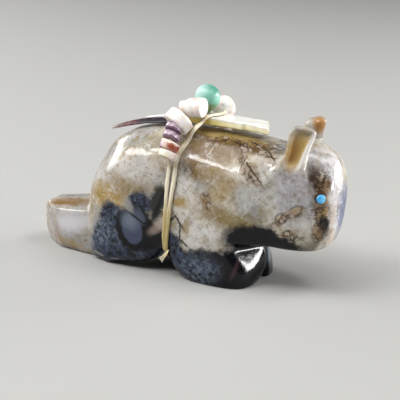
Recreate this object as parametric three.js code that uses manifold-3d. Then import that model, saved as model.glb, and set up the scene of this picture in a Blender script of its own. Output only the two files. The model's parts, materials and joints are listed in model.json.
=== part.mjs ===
// A beaver carved from one pebble-sized block of marbled stone, with two inlaid turquoise eyes
// and an offering bundle of shell points and beads tied over its back with sinew.
// Millimetres. +X is the way the beaver faces, +Y its left side, +Z up.
// z = 0 is the table it stands on. Sizes below are measured from a point under the middle of the body.
import * as THREE from "three";
import { mergeVertices } from "three/addons/utils/BufferGeometryUtils.js";
import Module from "manifold-3d";

const wasm = await Module();
wasm.setup();

// Stone: outline sizes
const BACK_TOP = 31.2; // height of the flat of the back
const NOSE_X = 31.9; // foremost point of the face
const RUMP_X = -24.9; // rearmost point of the body, above the tail
const JAW_Z = 8.3; // underside of the head above the table
const FOOT_X = 17.0; // front of the forefeet
const HALF_WIDTH = 11.3; // widest half-breadth of the body
const TAIL_TIP_X = -37.2;
const HEEL_DEPTH = 0.7; // stone left below z = 0 before the hind sole is ground flat
const PAW_DEPTH = 2.2; // the same under the forefeet, whose soles are broader

// Stone: how softly the faces meet
const EDGE_SOFTNESS = 4.6;
const TAIL_SOFTNESS = 3.0;
const CREASE = 0.7;

// Grid steps of the two sculpted skins
const STONE_STEP = 1.75;
const EAR_STEP = 0.84;

// Side outline of the body, from the heel of the hind foot up over the back and down the face: [x, z]
const SIDE = [
  [-21.4, -HEEL_DEPTH], [-23.8, 3.0], [RUMP_X, 8.4], [RUMP_X + 0.1, 13.4], [-24.0, 18.2],
  [-22.4, 22.0], [-20.2, 25.3], [-16.0, 28.6], [-11.2, 30.5], [-5.0, BACK_TOP], [3.0, BACK_TOP + 0.1],
  [9.0, BACK_TOP - 0.1], [14.0, BACK_TOP - 0.6], [17.6, BACK_TOP - 1.1], [20.4, BACK_TOP - 1.0],
  [23.0, BACK_TOP + 0.3], [25.4, BACK_TOP + 0.6], [27.8, BACK_TOP - 0.5], [29.9, 28.5], [31.2, 25.2],
  [NOSE_X, 20.8], [NOSE_X - 0.3, 16.2], [30.4, 12.2], [28.3, JAW_Z + 0.8], [25.6, JAW_Z],
  [22.0, JAW_Z - 0.1], [18.8, JAW_Z], [FOOT_X + 0.3, 8.0], [FOOT_X, 6.0], [FOOT_X + 0.2, 3.0],
  [FOOT_X - 0.4, 0.4], [FOOT_X - 1.6, -PAW_DEPTH], [12.0, -PAW_DEPTH], [5.0, -PAW_DEPTH],
  [2.0, -1.4], [-0.6, 0.2], [-2.4, 2.0], [-4.0, 4.6], [-5.6, 3.8], [-7.2, 2.0], [-10.0, 1.1],
  [-13.6, 0.3], [-16.6, -HEEL_DEPTH], [-19.0, -HEEL_DEPTH],
];

// Half of the plan outline, from rump to nose: [x, y]
const PLAN = [
  [RUMP_X - 0.2, 0], [-24.2, 4.2], [-21.8, 7.6], [-18.0, 10.0], [-13.0, HALF_WIDTH], [-8.0, 11.2],
  [-4.0, 10.8], [0.0, 11.1], [6.0, HALF_WIDTH + 0.3], [11.0, HALF_WIDTH], [15.0, 10.4], [18.6, 9.4],
  [22.0, 9.2], [25.4, 8.3], [28.4, 6.8], [30.7, 4.8], [31.8, 2.6], [NOSE_X + 0.1, 0],
];

// Half of the plan outline of the forefeet, which are rounder than the chest over them
const PAW_PLAN = [
  [-30, 0], [-30, 13], [2.0, 12.6], [8.0, 11.9], [12.4, 9.8], [15.2, 7.2], [16.7, 4.6], [FOOT_X + 0.2, 2.4],
  [FOOT_X, 0],
];

// Half of the cross outline, from the belly to the ridge of the back: [y, z]
const CROSS = [
  [0, -3.2], [8.2, -3.1], [10.4, -1.8], [11.1, 2.2], [11.4, 8.0], [HALF_WIDTH + 0.2, 13.0], [11.3, 18.0],
  [10.8, 22.0], [9.8, 25.0], [7.6, 28.2], [4.4, 30.6], [0, 31.8],
];

// How far the back sinks below the height for which the cross outline is drawn: [x, depth]
const BACK_SINK = [
  [-26, 9], [-22, 7.2], [-18, 4.2], [-14, 2.0], [-9, 0.6], [-4, 0], [8, 0], [16, 0.8], [20, 0.8],
  [24, 0], [28, 1.2], [33, 4.2],
];

// The tail: a thick tapering stub. Side outline [x, z] and half plan [x, y]
const TAIL_SIDE = [
  [-20.0, 0.2], [-20.0, 11.0], [-26.0, 11.0], [-31.0, 10.2], [-34.6, 9.3], [-36.6, 7.4],
  [TAIL_TIP_X, 4.2], [-36.8, 1.6], [-34.4, 0.2], [-28.0, -0.2],
];
const TAIL_PLAN = [
  [TAIL_TIP_X - 0.3, 0], [-37.0, 2.4], [-35.2, 4.0], [-31.6, 5.0], [-27.0, 5.7], [-20.0, 6.2],
];

// Ears: one upright petal on each side of the crown, the left one set a little further back.
// Each has its base, and its lean forward, lean inward and turn of the hollow to the front in degrees.
const EARS = [
  { base: [21.7, -7.2, 26.8], forward: 17, inward: 10, turn: 18 },
  { base: [22.2, 5.9, 26.4], forward: 1, inward: 10, turn: 18 },
];
const EAR_HEIGHT = 7.9;
const EAR_HALF_WIDTH = 2.45;
const EAR_THICKNESS = 2.3;

// Saw cut that parts the two forefeet: side outline [x, z], half-breadth at its back and how fast it opens
const TOE_CUT = [[11.8, -1], [19.0, -1], [19.0, 8.6], [16.4, 8.2], [12.8, 4.8], [11.8, 2.8]];
const TOE_CUT_HALF = 0.4;
const TOE_CUT_FLARE = 0.5; // share of that breadth gained for each millimetre forward

// Eyes: turquoise plugs glued into drilled sockets
const EYE_PLACE = new THREE.Vector3(28.6, 7.3, 21.5);
const EYE_OUT = new THREE.Vector3(0.62, 0.77, 0.12).normalize();
const EYE_RADIUS = 0.86;
const EYE_LENGTH = 1.9;
const EYE_STANDS_OUT = 0.2;
const GAP = 0.3; // clearance round each inlaid or strung piece

// Sinew: a flat waxed strip
const SINEW_WIDTH = 0.85;
const SINEW_THICKNESS = 0.5;
const BEAD_HOLE = 0.76; // radius

// Beads: centre, direction of the hole, radius, thickness and how it is drilled.
// The three stacked on top show no hole, and the sinew ends inside the large white one.
const BEADS = [
  ["bead_white_lower", 0xe9e2d6, [-2.6, -11.7, 26.35], [0.2, 0.45, 0.87], 1.9, 1.5, "through"],
  ["bead_red_shell", 0xb5532f, [-2.6, -10.9, 28.0], [0.15, 0.5, 0.85], 1.95, 1.35, "through"],
  ["bead_purple_lower", 0x9a7f93, [-2.8, -9.6, 29.75], [0.1, 0.65, 0.75], 1.65, 1.2, "through"],
  ["bead_purple_upper", 0x9a7f93, [-2.9, -8.4, 31.1], [0.1, 0.7, 0.7], 1.65, 1.1, "through"],
  ["bead_white_large", 0xefebe6, [-2.6, -6.5, 32.8], [0.45, 0.6, 0.66], 2.7, 1.9, "blind"],
  ["bead_stack_left", 0xeee6e0, [-2.7, -3.9, 35.0], [1, 0.1, 0.15], 1.7, 1.2, "none"],
  ["bead_stack_middle", 0xeee6e0, [-0.9, -4.0, 35.1], [1, 0, 0.05], 1.75, 1.2, "none"],
  ["bead_stack_right", 0xf2eef0, [0.75, -4.1, 35.3], [1, -0.1, 0], 1.85, 1.35, "none"],
  ["bead_white_far", 0xf2eee8, [2.1, 5.0, 33.5], [-0.1, 0.78, -0.62], 2.2, 1.7, "through"],
  ["bead_pink_far", 0xdccac4, [1.5, 7.4, 31.4], [-0.2, 0.7, -0.68], 1.7, 1.2, "through"],
];

const NUGGET_PLACE = new THREE.Vector3(0.3, 0.5, 36.3);
const NUGGET_HALF = new THREE.Vector3(2.65, 2.5, 2.8);

// Every point of an outline, with the curve between its corners as short straight steps
function smoothOutline(points, closed) {
  const corners = points.map(([a, b]) => new THREE.Vector3(a, b, 0));
  const curve = new THREE.CatmullRomCurve3(corners, closed, "centripetal");
  return curve.getPoints(points.length * 3).map((p) => [p.x, p.y]);
}

function mirrored(half) {
  const line = smoothOutline(half, false);
  return [...line, ...line.slice(1, -1).reverse().map(([a, b]) => [a, -b])];
}

// A half outline whose mirror line is its first coordinate
function mirroredAcross(half) {
  const line = smoothOutline(half, false);
  return [...line, ...line.slice(1, -1).reverse().map(([a, b]) => [-a, b])];
}

// Signed distance from a point to a closed outline, negative inside
function outlineDistance(outline, a, b) {
  let nearest = Infinity;
  let inside = false;
  for (let i = 0, j = outline.length - 1; i < outline.length; j = i++) {
    const [ax, ay] = outline[i];
    const [bx, by] = outline[j];
    const dx = bx - ax;
    const dy = by - ay;
    const share = ((a - ax) * dx + (b - ay) * dy) / (dx * dx + dy * dy + 1e-12);
    const along = Math.min(1, Math.max(0, share));
    nearest = Math.min(nearest, (a - ax - dx * along) ** 2 + (b - ay - dy * along) ** 2);
    if (ay > b !== by > b && a < ((b - ay) * dx) / dy + ax) inside = !inside;
  }
  return inside ? -Math.sqrt(nearest) : Math.sqrt(nearest);
}

// Join and cut with a rounded meeting line
function softMin(a, b, softness) {
  const h = Math.max(softness - Math.abs(a - b), 0) / softness;
  return Math.min(a, b) - (h * h * softness) / 4;
}

function softMax(a, b, softness) {
  return -softMin(-a, -b, softness);
}

const side = smoothOutline(SIDE, true);
const plan = mirrored(PLAN);
const pawPlan = mirrored(PAW_PLAN);
const cross = mirroredAcross(CROSS);
const tailSide = smoothOutline(TAIL_SIDE, true);
const tailPlan = mirrored(TAIL_PLAN);

function sinkAt(x) {
  let i = 0;
  while (i < BACK_SINK.length - 2 && x > BACK_SINK[i + 1][0]) i++;
  const [x0, d0] = BACK_SINK[i];
  const [x1, d1] = BACK_SINK[i + 1];
  const t = Math.min(1, Math.max(0, (x - x0) / (x1 - x0)));
  return d0 + (d1 - d0) * t;
}

function bodyField(x, y, z) {
  const raised = z + sinkAt(x) * THREE.MathUtils.smoothstep(z, 4, 18);
  const across = softMax(outlineDistance(plan, x, y), outlineDistance(cross, y, raised), EDGE_SOFTNESS);
  const whole = softMax(outlineDistance(side, x, z), across, EDGE_SOFTNESS);
  const pawTrim = Math.min(JAW_Z + 0.9 - z, outlineDistance(pawPlan, x, y));
  return softMax(whole, pawTrim, 1.6);
}

function tailField(x, y, z) {
  return softMax(outlineDistance(tailSide, x, z), outlineDistance(tailPlan, x, y), TAIL_SOFTNESS);
}

function stoneField(x, y, z) {
  return softMin(bodyField(x, y, z), tailField(x, y, z), CREASE);
}

// One ear in its own frame: x across the petal, y through it, z up
function earField(x, y, z) {
  const half = EAR_HEIGHT / 2;
  const spread = EAR_HALF_WIDTH * (0.7 + 0.36 * THREE.MathUtils.smoothstep(z, 0, EAR_HEIGHT * 0.8));
  const petal = (Math.hypot(x / spread, (z - half) / (half + 1)) - 1) * EAR_HALF_WIDTH;
  const slab = Math.abs(y) - EAR_THICKNESS / 2;
  const deep = Math.hypot((x - 0.2) / 1.35, (z - half - 0.4) / 3.0, (y + EAR_THICKNESS / 2 + 0.1) / 0.95);
  return softMax(softMax(petal, slab, 1.7), 1 - deep, 0.6);
}

// Surface nets: one vertex in each cell that the surface crosses, moved onto the surface,
// and one quad across each grid edge that goes in or out of the solid
function skinOf(field, low, high, step) {
  const [nx, ny, nz] = [0, 1, 2].map((k) => Math.ceil((high[k] - low[k]) / step) + 1);
  const at = (i, j, k) => i + nx * (j + ny * k);
  const value = new Float64Array(nx * ny * nz);
  for (let k = 0; k < nz; k++)
    for (let j = 0; j < ny; j++)
      for (let i = 0; i < nx; i++)
        value[at(i, j, k)] = field(low[0] + i * step, low[1] + j * step, low[2] + k * step);

  const cell = new Int32Array(nx * ny * nz).fill(-1);
  const places = [];
  for (let k = 0; k < nz - 1; k++)
    for (let j = 0; j < ny - 1; j++)
      for (let i = 0; i < nx - 1; i++) {
        const middle = crossingMiddle(value, at, i, j, k);
        if (!middle) continue;
        cell[at(i, j, k)] = places.length / 3;
        const corner = [low[0] + i * step, low[1] + j * step, low[2] + k * step];
        places.push(...ontoSurface(field, corner.map((c, n) => c + middle[n] * step), step));
      }

  const faces = [];
  const strides = [1, nx, nx * ny];
  for (let k = 1; k < nz - 1; k++)
    for (let j = 1; j < ny - 1; j++)
      for (let i = 1; i < nx - 1; i++)
        for (let axis = 0; axis < 3; axis++) {
          const here = at(i, j, k);
          const goingOut = value[here] < 0;
          if (goingOut === value[here + strides[axis]] < 0) continue;
          const u = strides[(axis + 1) % 3];
          const v = strides[(axis + 2) % 3];
          const quad = [cell[here], cell[here - u], cell[here - u - v], cell[here - v]];
          if (!goingOut) quad.reverse();
          faces.push(quad[0], quad[1], quad[2], quad[0], quad[2], quad[3]);
        }
  return new wasm.Manifold(
    new wasm.Mesh({ numProp: 3, vertProperties: new Float32Array(places), triVerts: new Uint32Array(faces) }),
  );
}

// Mean of the points where the surface crosses the twelve edges of one grid cell
function crossingMiddle(value, at, i, j, k) {
  const sum = [0, 0, 0];
  let crossings = 0;
  for (let edge = 0; edge < 12; edge++) {
    const axis = edge % 3;
    const start = [0, 0, 0];
    start[(axis + 1) % 3] = Math.floor(edge / 3) % 2;
    start[(axis + 2) % 3] = Math.floor(edge / 6);
    const end = [...start];
    end[axis] = 1;
    const a = value[at(i + start[0], j + start[1], k + start[2])];
    const b = value[at(i + end[0], j + end[1], k + end[2])];
    if (a < 0 === b < 0) continue;
    start[axis] = a / (a - b);
    for (let n = 0; n < 3; n++) sum[n] += start[n];
    crossings++;
  }
  return crossings ? sum.map((s) => s / crossings) : null;
}

function slopeOf(field, p) {
  const nudge = 0.01;
  const d = field(...p);
  const slope = [0, 1, 2].map((n) => {
    const q = [...p];
    q[n] += nudge;
    return (field(...q) - d) / nudge;
  });
  return { d, slope, steep: Math.max(0.25, slope.reduce((s, g) => s + g * g, 0)) };
}

function ontoSurface(field, place, step) {
  let p = place;
  for (let pass = 0; pass < 3; pass++) {
    const { d, slope, steep } = slopeOf(field, p);
    const reach = Math.min(step * 0.4, Math.max(-step * 0.4, d)) / steep;
    p = p.map((c, n) => c - slope[n] * reach);
  }
  return p;
}

// A point moved out until it is clear of the stone by the given distance
function clearOfStone(point, clearance) {
  let p = point.toArray();
  for (let pass = 0; pass < 4; pass++) {
    const { d, slope, steep } = slopeOf(stoneField, p);
    if (d >= clearance) break;
    p = p.map((c, n) => c + (slope[n] * (clearance - d)) / steep);
  }
  return new THREE.Vector3(...p);
}

function toSolid(geometry) {
  geometry.deleteAttribute("normal");
  geometry.deleteAttribute("uv");
  const merged = mergeVertices(geometry, 1e-4);
  const vertProperties = new Float32Array(merged.attributes.position.array);
  const triVerts = new Uint32Array(merged.index.array);
  return new wasm.Manifold(new wasm.Mesh({ numProp: 3, vertProperties, triVerts }));
}

function toGeometry(solid) {
  const mesh = solid.getMesh();
  const places = new Float32Array(mesh.numVert * 3);
  for (let i = 0; i < mesh.numVert; i++)
    places.set(mesh.vertProperties.subarray(i * mesh.numProp, i * mesh.numProp + 3), i * 3);
  const geometry = new THREE.BufferGeometry();
  geometry.setAttribute("position", new THREE.BufferAttribute(places, 3));
  geometry.setIndex(new THREE.BufferAttribute(mesh.triVerts, 1));
  geometry.computeVertexNormals();
  return geometry;
}

function placed(geometry, centre, direction) {
  const turn = new THREE.Quaternion().setFromUnitVectors(new THREE.Vector3(0, 1, 0), direction);
  return geometry.applyQuaternion(turn).translate(centre.x, centre.y, centre.z);
}

// A round rod about a line
function rod(centre, direction, radius, length, sides) {
  return toSolid(placed(new THREE.CylinderGeometry(radius, radius, length, sides), centre, direction));
}

// A disc bead with a rounded rim as one closed lathe profile, drilled through, part way or not at all
function bead(centre, direction, radius, thickness, drilled) {
  const rim = 0.3;
  const half = thickness / 2;
  const bore = drilled === "none" ? 0 : BEAD_HOLE;
  const profile = [
    [bore, -half], [radius - rim, -half], [radius, -half + rim], [radius, half - rim], [radius - rim, half],
    [bore, half], [bore, -half],
  ].map(([r, h]) => new THREE.Vector2(r, h));
  if (bore === 0) profile.pop();
  const disc = toSolid(placed(new THREE.LatheGeometry(profile, 12), centre, direction));
  if (drilled !== "blind") return disc;
  const floor = centre.clone().addScaledVector(direction, half - 0.25);
  return disc.add(rod(floor, direction, BEAD_HOLE + 0.1, 0.5, 12));
}

// A strip of the given half sizes swept along a curve, with closed ends or as a closed ring.
// The flat of the strip faces the line that runs along the body through the middle of the section.
function strip(points, closed, steps) {
  const curve = new THREE.CatmullRomCurve3(points, closed, "centripetal");
  const halfWidth = SINEW_WIDTH / 2;
  const halfThickness = SINEW_THICKNESS / 2;
  const section = [[-1, 0], [-0.6, -1], [0.6, -1], [1, 0], [0.6, 1], [-0.6, 1]];
  const rings = closed ? steps : steps + 1;
  const places = [];
  for (let i = 0; i < rings; i++) {
    const p = curve.getPointAt(i / steps);
    const along = curve.getTangentAt(i / steps);
    const outward = new THREE.Vector3(0, p.y, p.z - 16);
    const across = new THREE.Vector3().crossVectors(along, outward).normalize();
    const through = new THREE.Vector3().crossVectors(across, along).normalize();
    for (const [w, t] of section) {
      const q = p.clone().addScaledVector(across, w * halfWidth).addScaledVector(through, t * halfThickness);
      places.push(q.x, q.y, q.z);
    }
  }
  const faces = [];
  const n = section.length;
  for (let i = 0; i < steps; i++)
    for (let j = 0; j < n; j++) {
      const a = i * n + j;
      const b = i * n + ((j + 1) % n);
      const c = ((i + 1) % rings) * n + ((j + 1) % n);
      const d = ((i + 1) % rings) * n + j;
      faces.push(a, b, c, a, c, d);
    }
  if (!closed)
    for (let j = 1; j < n - 1; j++) {
      faces.push(0, j + 1, j);
      faces.push(steps * n, steps * n + j, steps * n + j + 1);
    }
  const geometry = new THREE.BufferGeometry();
  geometry.setAttribute("position", new THREE.BufferAttribute(new Float32Array(places), 3));
  geometry.setIndex(faces);
  const solid = toSolid(geometry);
  return solid.volume() > 0 ? solid : toSolid(flipped(geometry));
}

function flipped(geometry) {
  const index = [...geometry.index.array];
  for (let i = 0; i < index.length; i += 3) [index[i + 1], index[i + 2]] = [index[i + 2], index[i + 1]];
  geometry.setIndex(index);
  return geometry;
}

// A flat plate with an outline in plan, bent along its length and thinned towards one end
function plate(outline, thickness, bend) {
  const shape = new THREE.Shape(outline.map(([x, y]) => new THREE.Vector2(x, y)));
  const geometry = new THREE.ExtrudeGeometry(shape, { depth: 1, bevelEnabled: false, curveSegments: 1 });
  const place = geometry.attributes.position;
  for (let i = 0; i < place.count; i++) {
    const { rise, thick } = bend(place.getX(i));
    place.setZ(i, rise + (place.getZ(i) - 0.5) * thickness * thick);
  }
  return geometry;
}

const beaver = new THREE.Group();
function piece(name, solid, colour, roughness) {
  const material = new THREE.MeshStandardMaterial({ color: colour, roughness, metalness: 0 });
  const mesh = new THREE.Mesh(toGeometry(solid), material);
  mesh.name = name;
  beaver.add(mesh);
}

// Stone body with both ears, soles ground flat and eye sockets drilled
let stone = skinOf(stoneField, [-41, -15, -5.2], [35, 15, 34.5], STONE_STEP);
const earSkin = toGeometry(skinOf(earField, [-4, -3, -3], [4, 3, 10], EAR_STEP));
for (const { base, forward, inward, turn } of EARS) {
  const angles = [-inward, forward, turn].map(THREE.MathUtils.degToRad);
  const ear = earSkin.clone().applyMatrix4(
    new THREE.Matrix4().makeRotationFromEuler(new THREE.Euler(...angles, "XYZ")),
  );
  const isLeft = base[1] > 0;
  if (isLeft) flipped(ear.scale(1, -1, 1));
  stone = stone.add(toSolid(ear.translate(...base)));
}
const grinder = toSolid(new THREE.BoxGeometry(120, 60, 10).translate(0, 0, -5));
stone = stone.subtract(grinder);

const cutShape = new THREE.Shape(TOE_CUT.map(([x, z]) => new THREE.Vector2(x, z)));
const toeCut = new THREE.ExtrudeGeometry(cutShape, { depth: 2, bevelEnabled: false, curveSegments: 1 });
toeCut.translate(0, 0, -1).rotateX(Math.PI / 2);
const cutPlace = toeCut.attributes.position;
for (let i = 0; i < cutPlace.count; i++) {
  const flare = 1 + (cutPlace.getX(i) - TOE_CUT[0][0]) * TOE_CUT_FLARE;
  cutPlace.setY(i, cutPlace.getY(i) * TOE_CUT_HALF * flare);
}
stone = stone.subtract(toSolid(toeCut));

const eyes = [];
for (const sign of [-1, 1]) {
  const out = EYE_OUT.clone().multiply(new THREE.Vector3(1, sign, 1));
  const onFace = EYE_PLACE.clone().multiply(new THREE.Vector3(1, sign, 1));
  const face = ontoSurface(stoneField, ontoSurface(stoneField, onFace.toArray(), 5), 5);
  const top = new THREE.Vector3(...face);
  const socket = top.clone().addScaledVector(out, 2 - (EYE_LENGTH + GAP) / 2 - 0.3);
  stone = stone.subtract(rod(socket, out, EYE_RADIUS + GAP, EYE_LENGTH + GAP + 3, 14));
  const plug = top.clone().addScaledVector(out, EYE_STANDS_OUT - EYE_LENGTH / 2);
  eyes.push([sign < 0 ? "eye_right" : "eye_left", rod(plug, out, EYE_RADIUS, EYE_LENGTH, 14)]);
}
piece("stone_beaver", stone, 0xa79d8c, 0.18);
for (const [name, solid] of eyes) piece(name, solid, 0x35a8d8, 0.3);

// Shell spearhead: thick and square at the butt over the shoulders, thin at the tip over the haunch
const SPEAR = [
  [-12.0, 0.6], [-9.0, -1.2], [-5.0, -2.4], [0.0, -2.9], [5.0, -3.0], [9.6, -3.0], [10.0, -2.6],
  [15.3, -2.9], [13.3, 2.2], [9.0, 2.3], [4.0, 2.3], [-1.0, 2.1], [-5.0, 1.9], [-9.0, 1.4],
];
const spearBend = (x) => ({
  rise: 32.5 - (x > 3 ? 0.0034 : 0.0072) * (x - 3) ** 2,
  thick: 1 - 0.6 * THREE.MathUtils.smoothstep(-x, 0, 12),
});
piece("shell_spearhead", toSolid(plate(SPEAR, 1.2, spearBend)), 0xe9dfb4, 0.25);

// Dark shell point, lying against the near side of the ridge and reaching past the haunch
const POINT = [
  [0, -0.3], [3, -0.75], [8, -1.4], [12, -1.7], [14, -1.2], [14, 1.2], [12, 1.7], [8, 1.4], [3, 0.8], [0, 0.35],
];
const pointBend = (x) => ({ rise: 0, thick: 0.75 + 0.25 * THREE.MathUtils.smoothstep(x, 0, 6) });
const dark = plate(POINT, 0.55, pointBend);
dark.applyMatrix4(new THREE.Matrix4().makeRotationFromEuler(new THREE.Euler(0.34, -0.215, -0.13, "ZYX")));
dark.translate(-20.8, -1.3, 27.75);
piece("dark_shell_point", toSolid(dark), 0x3a2630, 0.3);

// Beads
const strung = new Map();
for (const [name, colour, at, axis, radius, thickness, drilled] of BEADS) {
  const centre = new THREE.Vector3(...at);
  const direction = new THREE.Vector3(...axis).normalize();
  strung.set(name, { centre, direction, thickness });
  piece(name, bead(centre, direction, radius, thickness, drilled), colour, 0.25);
}

// Turquoise nugget, a lumpy ball on top of the bundle
const nugget = new THREE.SphereGeometry(1, 16, 10);
const lump = nugget.attributes.position;
for (let i = 0; i < lump.count; i++) {
  const [x, y, z] = [lump.getX(i), lump.getY(i), lump.getZ(i)];
  const swell = 1 + 0.05 * Math.sin(3 * x + 1) * Math.cos(2 * z) - 0.06 * Math.max(0, -z) * Math.abs(x);
  lump.setXYZ(i, x * swell, y * swell, z * swell);
}
nugget.scale(NUGGET_HALF.x, NUGGET_HALF.y, NUGGET_HALF.z).translate(NUGGET_PLACE.x, NUGGET_PLACE.y, NUGGET_PLACE.z);
piece("turquoise_nugget", toSolid(nugget), 0x4fa58c, 0.35);

// Sinew: a cord up the near side through the beads, a full loop over the spearhead and under the
// belly, where both lie in the notch, and the cut end of the knot
const v = (x, y, z) => new THREE.Vector3(x, y, z);
const clearance = 0.3 + SINEW_THICKNESS / 2 + 0.12;
const hug = (points) => points.map((p) => clearOfStone(p, clearance));
function through(name) {
  const { centre, direction, thickness } = strung.get(name);
  const reach = thickness / 2 + 0.12;
  return [centre.clone().addScaledVector(direction, -reach), centre.clone().addScaledVector(direction, reach)];
}
const beadCord = [
  ...hug([v(-3.1, -10.7, 5.6), v(-2.9, -11.4, 8.6), v(-2.8, -11.7, 14), v(-2.8, -11.8, 20)]),
  ...through("bead_white_lower"), ...through("bead_red_shell"), ...through("bead_purple_lower"),
  ...through("bead_purple_upper"), through("bead_white_large")[0], strung.get("bead_white_large").centre,
];
const loop = [
  ...hug([v(-3.1, -10.4, 5.4), v(-2.4, -11.4, 8.6), v(-1.8, -11.7, 14), v(-1.3, -11.6, 18), v(-0.5, -11.2, 23)]),
  ...hug([v(0.1, -10.3, 26.2), v(0.3, -8, 29.2), v(0.5, -5.6, 31.2)]), v(1.35, -4.2, 32.8), v(2.4, -2.7, 33.75),
  v(3.1, -0.4, 33.95), v(3.2, 1.6, 34.2), ...through("bead_white_far"), ...through("bead_pink_far"),
  ...hug([v(0.2, 9.9, 28.2), v(-1.0, 11.2, 24), v(-2.2, 11.7, 16), v(-2.9, 11.4, 9.4), v(-3.4, 10.3, 5.2)]),
  ...hug([v(-3.6, 7.0, 4.0), v(-3.6, 0, 4.0), v(-3.5, -7.0, 4.0)]),
];
const cutEnd = [v(-3.0, -10.6, 5.6), v(-3.2, -10.5, 4.2), v(-3.6, -10.1, 3.0), v(-4.0, -9.6, 2.3)];
const turns = [strip(loop, true, 64), strip(beadCord, false, 40), strip(cutEnd, false, 4)];
piece("sinew", turns.reduce((all, one) => all.add(one)), 0xd9cc98, 0.55);

// Origin under the middle of the whole
const extent = new THREE.Box3().setFromObject(beaver);
beaver.position.set(-(extent.min.x + extent.max.x) / 2, -(extent.min.y + extent.max.y) / 2, 0);

export default beaver;
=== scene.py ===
"""A polished stone beaver with turquoise eyes and an offering bundle tied over its back with sinew.

Working sizes are in millimetres in the part's frame: +X the way the beaver faces, +Z up, z = 0 the table.
"""

import json
import math

import bmesh
import bpy
import numpy as np
from mathutils import Matrix, Vector

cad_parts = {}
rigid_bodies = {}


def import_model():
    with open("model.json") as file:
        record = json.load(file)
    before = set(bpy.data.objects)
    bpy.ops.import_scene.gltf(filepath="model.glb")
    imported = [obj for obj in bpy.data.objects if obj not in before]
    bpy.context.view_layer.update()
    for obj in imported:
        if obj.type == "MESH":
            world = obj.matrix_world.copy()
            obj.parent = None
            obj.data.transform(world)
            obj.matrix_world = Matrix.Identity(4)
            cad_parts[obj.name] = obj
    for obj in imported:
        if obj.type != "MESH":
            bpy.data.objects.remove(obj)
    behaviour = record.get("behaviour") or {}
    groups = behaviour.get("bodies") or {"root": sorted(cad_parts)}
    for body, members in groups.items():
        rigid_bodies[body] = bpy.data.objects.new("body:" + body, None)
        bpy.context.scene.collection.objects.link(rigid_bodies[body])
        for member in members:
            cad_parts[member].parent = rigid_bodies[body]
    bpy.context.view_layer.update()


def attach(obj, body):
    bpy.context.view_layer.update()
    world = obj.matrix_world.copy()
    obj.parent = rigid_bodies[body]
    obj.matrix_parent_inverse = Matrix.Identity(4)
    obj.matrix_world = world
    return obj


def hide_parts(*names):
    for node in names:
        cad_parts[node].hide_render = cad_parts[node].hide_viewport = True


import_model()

MM = 0.001
# The carver's drawing is measured from under the middle of the body; the part's frame starts elsewhere
DRAWING_SHIFT = np.array([2.88655, 0.80052, 0.0])


# Camera
PICTURE_WIDTH = 400  # steps across the photograph
PICTURE_SCALE = 4.8  # of those steps for each millimetre at the target
SENSOR_WIDTH = 36


def aim_camera():
    """The photograph's view: a little to the front of square side-on, from just above."""
    right = Vector((0.9133, 0.4040, 0.0499))
    back = Vector((0.3737, -0.8803, 0.2924))
    up = back.cross(right)
    distance = 260.0
    target = Vector((0, 0, 14.5)) + Vector(DRAWING_SHIFT)
    camera = bpy.data.cameras.new("camera")
    camera.sensor_width = SENSOR_WIDTH
    camera.lens = SENSOR_WIDTH * PICTURE_SCALE * distance / PICTURE_WIDTH
    camera.clip_start = 0.01
    camera.clip_end = 10
    holder = bpy.data.objects.new("camera", camera)
    bpy.context.scene.collection.objects.link(holder)
    turn = Matrix((right, up, back)).transposed().to_4x4()
    holder.matrix_world = Matrix.Translation((target + back * distance) * MM) @ turn
    bpy.context.scene.camera = holder


aim_camera()


# Colours and nodes
def srgb(hex_code):
    """Linear colour of an sRGB hex value."""
    parts = [int(hex_code[i : i + 2], 16) / 255 for i in (0, 2, 4)]
    return tuple(c / 12.92 if c <= 0.04045 else ((c + 0.055) / 1.055) ** 2.4 for c in parts) + (1.0,)


class Finish:
    """A material under construction: its node tree and its main shader."""

    def __init__(self, name, colour, roughness, ior=1.5, **sockets):
        self.material = bpy.data.materials.new(name)
        self.material.use_nodes = True
        self.tree = self.material.node_tree
        self.shader = self.tree.nodes["Principled BSDF"]
        self.set(Base_Color=srgb(colour), Roughness=roughness, IOR=ior, **sockets)

    def set(self, **sockets):
        plug(self.tree, self.shader, sockets)

    def add(self, kind, settings=None, **inputs):
        return add_node(self.tree, "ShaderNode" + kind, settings, inputs)


def plug(tree, node, inputs):
    """Gives sockets a number, a colour or another node's output, by name or by number (_0)."""
    for key, value in inputs.items():
        if key[0] == "_":
            target = node.inputs[int(key[1:])]
        else:
            target = next(s for s in node.inputs if s.name == key.replace("_", " ") and s.enabled)
        if isinstance(value, bpy.types.NodeSocket):
            tree.links.new(value, target)
        elif isinstance(value, bpy.types.Node):
            tree.links.new(next(s for s in value.outputs if s.enabled), target)
        else:
            target.default_value = value


def add_node(tree, kind, settings=None, inputs=None):
    """Adds a node with its own settings and its linked or plain inputs."""
    node = tree.nodes.new(kind)
    for key, value in (settings or {}).items():
        setattr(node, key, value)
    plug(tree, node, inputs or {})
    return node


# Outlines and fields of the stone, in the carver's drawing
BACK_TOP = 31.2
NOSE_X = 31.88
RUMP_X = -24.9
JAW_Z = 8.3
FOOT_X = 17.0
HALF_WIDTH = 11.3
TAIL_TIP_X = -36.95
HEEL_DEPTH = 0.7
PAW_DEPTH = 2.2
EDGE_SOFTNESS = 4.6
TAIL_SOFTNESS = 1.9
CREASE = 0.7
SHOULDER_FACING = (0.7, 0.71)  # out and up
SHOULDER_SOFTNESS = 1.2
PAW_TOP_Z = JAW_Z + 0.4
UNDER_JAW_Z = JAW_Z + 0.9
PAW_SOFTNESS = 1.2
JAW_SOFTNESS = 1.6
CURVE_STEPS = 12  # points for each corner of an outline

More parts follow.
